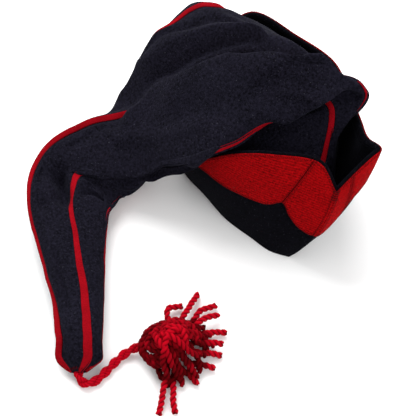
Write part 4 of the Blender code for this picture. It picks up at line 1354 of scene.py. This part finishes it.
def tasselLines():
    rng = np.random.default_rng(tassel["seed"])
    radius = tassel["yarnRadius"]
    half = np.array(tassel["head"][:2]) * headLength
    middle = np.array(tassel["middle"]) * headLength
    pole = np.array(tassel["pole"])
    routes = []

    def loosely(most):
        return rng.uniform(-most, most, 2)

    for row in tassel["locks"]:
        # a lock from the pole, over the head and out along its own row
        heights = np.array([row[6], (row[6] + row[7]) / 2, row[7]]) * radius
        lock = np.column_stack([np.array(row[:6]).reshape(3, 2) * headLength, heights])
        bend = (lock[1, :2] - middle) / half
        first = pole + loosely(tassel["lockSpread"])
        second = first + (bend - first) * tassel["lockEase"] + loosely(tassel["lockSpread"])
        low, high = tassel["lockLifts"]
        routes.append([overHead(*first, low), overHead(*second, high), *lock])
    for k in range(tassel["fans"]):
        # cut ends that spring to the right
        least, swing, loose = tassel["fanBearing"]
        bearing = math.radians(least + swing * (k + 0.5) / tassel["fans"] + rng.uniform(-loose, loose))
        reach = rng.uniform(*tassel["fanReach"])
        bow = rng.uniform(-tassel["fanBow"], tassel["fanBow"])
        way = np.array([math.cos(bearing), math.sin(bearing)])
        side = np.array([-way[1], way[0]])
        first = pole + loosely(tassel["fanSpread"])
        kept, onward, bowed, far = tassel["fanBends"]
        bend = first * kept + way * onward + side * bow * bowed
        points = [first, bend, way * far + side * bow, way * reach]
        lift = rng.uniform(*tassel["fanLift"])
        routes.append([overHead(*point, lift) for point in points])
    for k in range(tassel["loops"]):
        # rounded loops round the pole, open toward the cut ends
        least, further = tassel["loopWide"]
        wide = least + further * (k + 0.5) / tassel["loops"]
        begin = math.radians(rng.uniform(*tassel["loopBegin"]))
        swing = math.radians(rng.uniform(*tassel["loopSwing"]))
        angle = begin + swing * np.linspace(0, 1, tassel["loopPoints"])
        drift = loosely(tassel["loopDrift"])
        ring = np.column_stack([np.cos(angle), np.sin(angle)]) * wide + pole + drift
        ring = ring * np.minimum(1, tassel["loopMost"] / np.linalg.norm(ring, axis=1, keepdims=True))
        lift = rng.uniform(*tassel["loopLift"])
        routes.append([overHead(*point, lift) for point in ring])
    for *bends, last in tassel["crossings"]:
        high, low = tassel["crossLifts"]
        routes.append([*[overHead(*point, high) for point in bends], overHead(*last, low)])
    lines = [evenPath(np.array(route), tassel["points"]) for route in routes]
    for k, line in enumerate(lines):
        # each yarn wavers its own way
        offset = Vector([part * k for part in tassel["waverApart"]])
        push = [noise.noise_vector(Vector(point / tassel["waverLength"]) + offset) for point in line]
        line += np.array(push) * np.array(tassel["waver"])
        line[:, 2] = np.maximum(line[:, 2], radius)
    return lines, rng.uniform(0, 1, len(lines))


def makeTassel():
    lines, phases = tasselLines()
    source = pathMesh("tasselPaths", lines, phases=phases)
    # painted shade on the yarns that lie under others
    addValues(source.data, "paintedUnderShade", paintedUnderShade(np.concatenate(lines), tassel["shadeReach"], tassel["shadeSlope"],
                                            tassel["shadeDepth"]))
    return makeYarn("yarnTassel", source, tassel["yarn"], "tassel")


cordPiece, cordPath, cordLength = makeCord()
tasselPiece = makeTassel()
print("cord and tassel made, cord", round(cordLength, 4), "m")


# stitches: along the facing's edges, the hem inside the rim, the front crease and the tip
stitches = {
    # pitch, length, thickness of the thread, arch and slant
    "edge": (0.0017, 0.0024, 0.00055, 0.0003, 1.15),
    "line": (0.0034, 0.0027, 0.0005, 0.0002, 0.0),
    "tack": (0.0021, 0.0052, 0.0006, 0.0005, math.pi / 2),
    "tip": (0.0024, 0.0026, 0.0007, 0.0003, 1.15),
    "sunk": 0.0002,
    "lineSunk": -0.0001,
    "edgeIn": 0.0012,
    "edgeEnds": 0.0015,
    "edgePoints": 160,
    "seamLevels": (0.01, 0.98, 60),
    "hemIn": (0.0035, 0.0068),
    "hemTurns": (0.002, 0.998, 700),
    "tackDown": (0.0015, 0.010, 12),
    "tipAlong": (0.994, 0.997, 1.0),
    "tipPoints": 60,
    "tipRaised": 0.0003,
}


def facingLines(inset, raised):
    # lines that follow the facing's lower edges and seams, a given way inside them
    spots = []
    for name, node, first, last in facing["pieces"]:
        ends = stitches["edgeEnds"]
        columns = np.linspace(first + ends, last - ends, stitches["edgePoints"])
        height = bandHeight(columns)
        low = smooth(facingEdge, columns)[:, 0] + inset / height
        high = 1 - (facing["rimBare"] + inset) / height
        spots += [(slanted(columns, levels), levels) for levels in (low, high)]
        for end, way in ((first, 1), (last, -1)):
            above, high, count = stitches["seamLevels"]
            levels = np.linspace(smooth(facingEdge, np.array([end]))[0, 0] + above, high, count)
            turns = slanted(np.full(count, end), levels)
            near = 0.001
            step = bandFace(turns + near, levels)[0] - bandFace(turns - near, levels)[0]
            spots.append((turns + way * inset / (np.linalg.norm(step, axis=1) / (2 * near)), levels))
    surfaces = [bandSurface(turns, levels) for turns, levels in spots]
    return [point + out * raised for point, out in surfaces], [out for point, out in surfaces]


def makeStitches(name, kind, lines, ups, material="redThread"):
    values = dict(zip(("pitch", "length", "thickness", "arch", "slant"), stitches[kind]))
    piece = runTree(trees["stitch"], pathMesh(name + "Paths", lines, ups), name,
                    {**values, "material": materials[material]})
    settle(piece, "red_wool" if material == "redThread" else "black_wool")


def makeAllStitches():
    top = facing["lift"] + facing["cloth"]
    makeStitches("edgeStitches", "edge", *facingLines(stitches["edgeIn"], top - stitches["sunk"]))
    makeStitches("facingStitches", "line",
                 *facingLines(facing["stitchIn"], top - facing["stitchDepth"] - stitches["lineSunk"]))
    turns = np.linspace(*stitches["hemTurns"])
    hems = [bandSurface(turns, 1 - down / bandHeight(turns)) for down in stitches["hemIn"]]
    depth = band["wall"] + band["hemRise"] - stitches["sunk"]
    makeStitches("hemStitches", "line", [point - out * depth for point, out in hems],
                 [-out for point, out in hems], "darkThread")
    # tack stitches across the front crease, and whip stitches round the tip
    down = np.linspace(*stitches["tackDown"])
    front = np.zeros(len(down))
    point, out = bandSurface(front, 1 - down / bandHeight(front))
    makeStitches("creaseTacks", "tack", [point + out * top], [out], "darkThread")
    grid = bagGrid(np.array(stitches["tipAlong"])[:, None], np.linspace(0, 1, stitches["tipPoints"]))
    out = surfaceOut(grid)[1]
    makeStitches("tipStitches", "tip", [grid[1] + out * stitches["tipRaised"]], [out])


makeAllStitches()
print("stitches made")


# nap: loose fibres on the wool, the felt and the yarn, in fibres to a square metre
nap = {
    "clothDensity": 15000.0,
    "feltDensity": 42000.0,
    "yarnDensity": 40000.0,
    "length": 0.0011,
    "feltShare": 0.7,
    "thickness": 0.00006,
    "seed": 3,
}


def makeNap(name, sources, density, length, material, slotName):
    points = []
    faces = []
    at = 0
    for mesh in (bpy.data.objects[source].data for source in sources):
        flat = np.zeros(len(mesh.vertices) * 3, np.float32)
        mesh.vertices.foreach_get("co", flat)
        points.append(flat.reshape(-1, 3))
        faces += [[corner + at for corner in face.vertices] for face in mesh.polygons]
        at += len(mesh.vertices)
    source = addMesh(name + "Source", np.concatenate(points) - shift, faces, None)
    settle(runTree(trees["nap"], source, name, {
        "density": density, "length": length, "thickness": nap["thickness"], "seed": nap["seed"],
        "material": materials[material]}), slotName)


makeNap("woolNap", [row[0] for row in gores] + ["capBand"], nap["clothDensity"], nap["length"],
        "napDark", "black_wool")
makeNap("feltNap", [row[0] for row in strips + facing["pieces"]], nap["feltDensity"],
        nap["length"] * nap["feltShare"], "napRed", "red_wool")
makeNap("yarnNap", ["tasselCord", "yarnTassel"], nap["yarnDensity"], nap["length"], "napRed", "red_yarn")
print("nap made")


# the table, the light and the camera
stage = {
    "floor": (0.93, 0.93, 0.93, 1.0),
    "floorHalf": 4,
    "floorRoughness": 0.9,
    "floorSpecular": 0.1,
    "world": 0.80,
    # name, place, size and power
    "lights": (("keyLight", (-0.40, 1.05, 1.3), 1.6, 42.0), ("fillLight", (1.0, -0.9, 1.0), 1.2, 12.0)),
    "aim": (0, 0, 0.05),
}
camera = {
    "elevation": 55.0,
    "distance": 1.1453,
    "lens": 100.0,
    "sensor": 36.0,
    "farthest": 20.0,
    "target": (-0.0372, -0.0510, 0.0),
}


def makeFloor():
    mesh = bpy.data.meshes.new("table")
    far = stage["floorHalf"]
    mesh.from_pydata([(-far, -far, 0), (far, -far, 0), (far, far, 0), (-far, far, 0)], [], [(0, 1, 2, 3)])
    made = bpy.data.materials.new("tableTop")
    made.use_nodes = True
    shader = made.node_tree.nodes["Principled BSDF"]
    for name, value in (("Base Color", stage["floor"]), ("Roughness", stage["floorRoughness"]),
                        ("Specular IOR Level", stage["floorSpecular"])):
        shader.inputs[name].default_value = value
    mesh.materials.append(made)
    addThing("table", mesh)


def makeStage():
    makeFloor()
    for name, place, size, power in stage["lights"]:
        data = bpy.data.lights.new(name, "AREA")
        data.shape = "DISK"
        data.size = size
        data.energy = power
        light = addThing(name, data)
        light.location = place
        light.rotation_euler = (Vector(stage["aim"]) - Vector(place)).to_track_quat("-Z", "Y").to_euler()
    world = bpy.data.worlds.new("studio")
    world.use_nodes = True
    world.node_tree.nodes["Background"].inputs["Color"].default_value = (1, 1, 1, 1)
    world.node_tree.nodes["Background"].inputs["Strength"].default_value = stage["world"]
    bpy.context.scene.world = world
    bpy.context.scene.view_settings.view_transform = "Standard"


def makeCamera():
    data = bpy.data.cameras.new("view")
    data.lens = camera["lens"]
    data.sensor_width = camera["sensor"]
    data.clip_end = camera["farthest"]
    thing = addThing("view", data)
    tilt = math.radians(camera["elevation"])
    back = Vector((0.0, -math.cos(tilt), math.sin(tilt)))
    thing.location = Vector(camera["target"]) + Vector(shift) + back * camera["distance"]
    thing.rotation_euler = (-back).to_track_quat("-Z", "Y").to_euler()
    bpy.context.scene.camera = thing


makeStage()
makeCamera()
print("stage made")
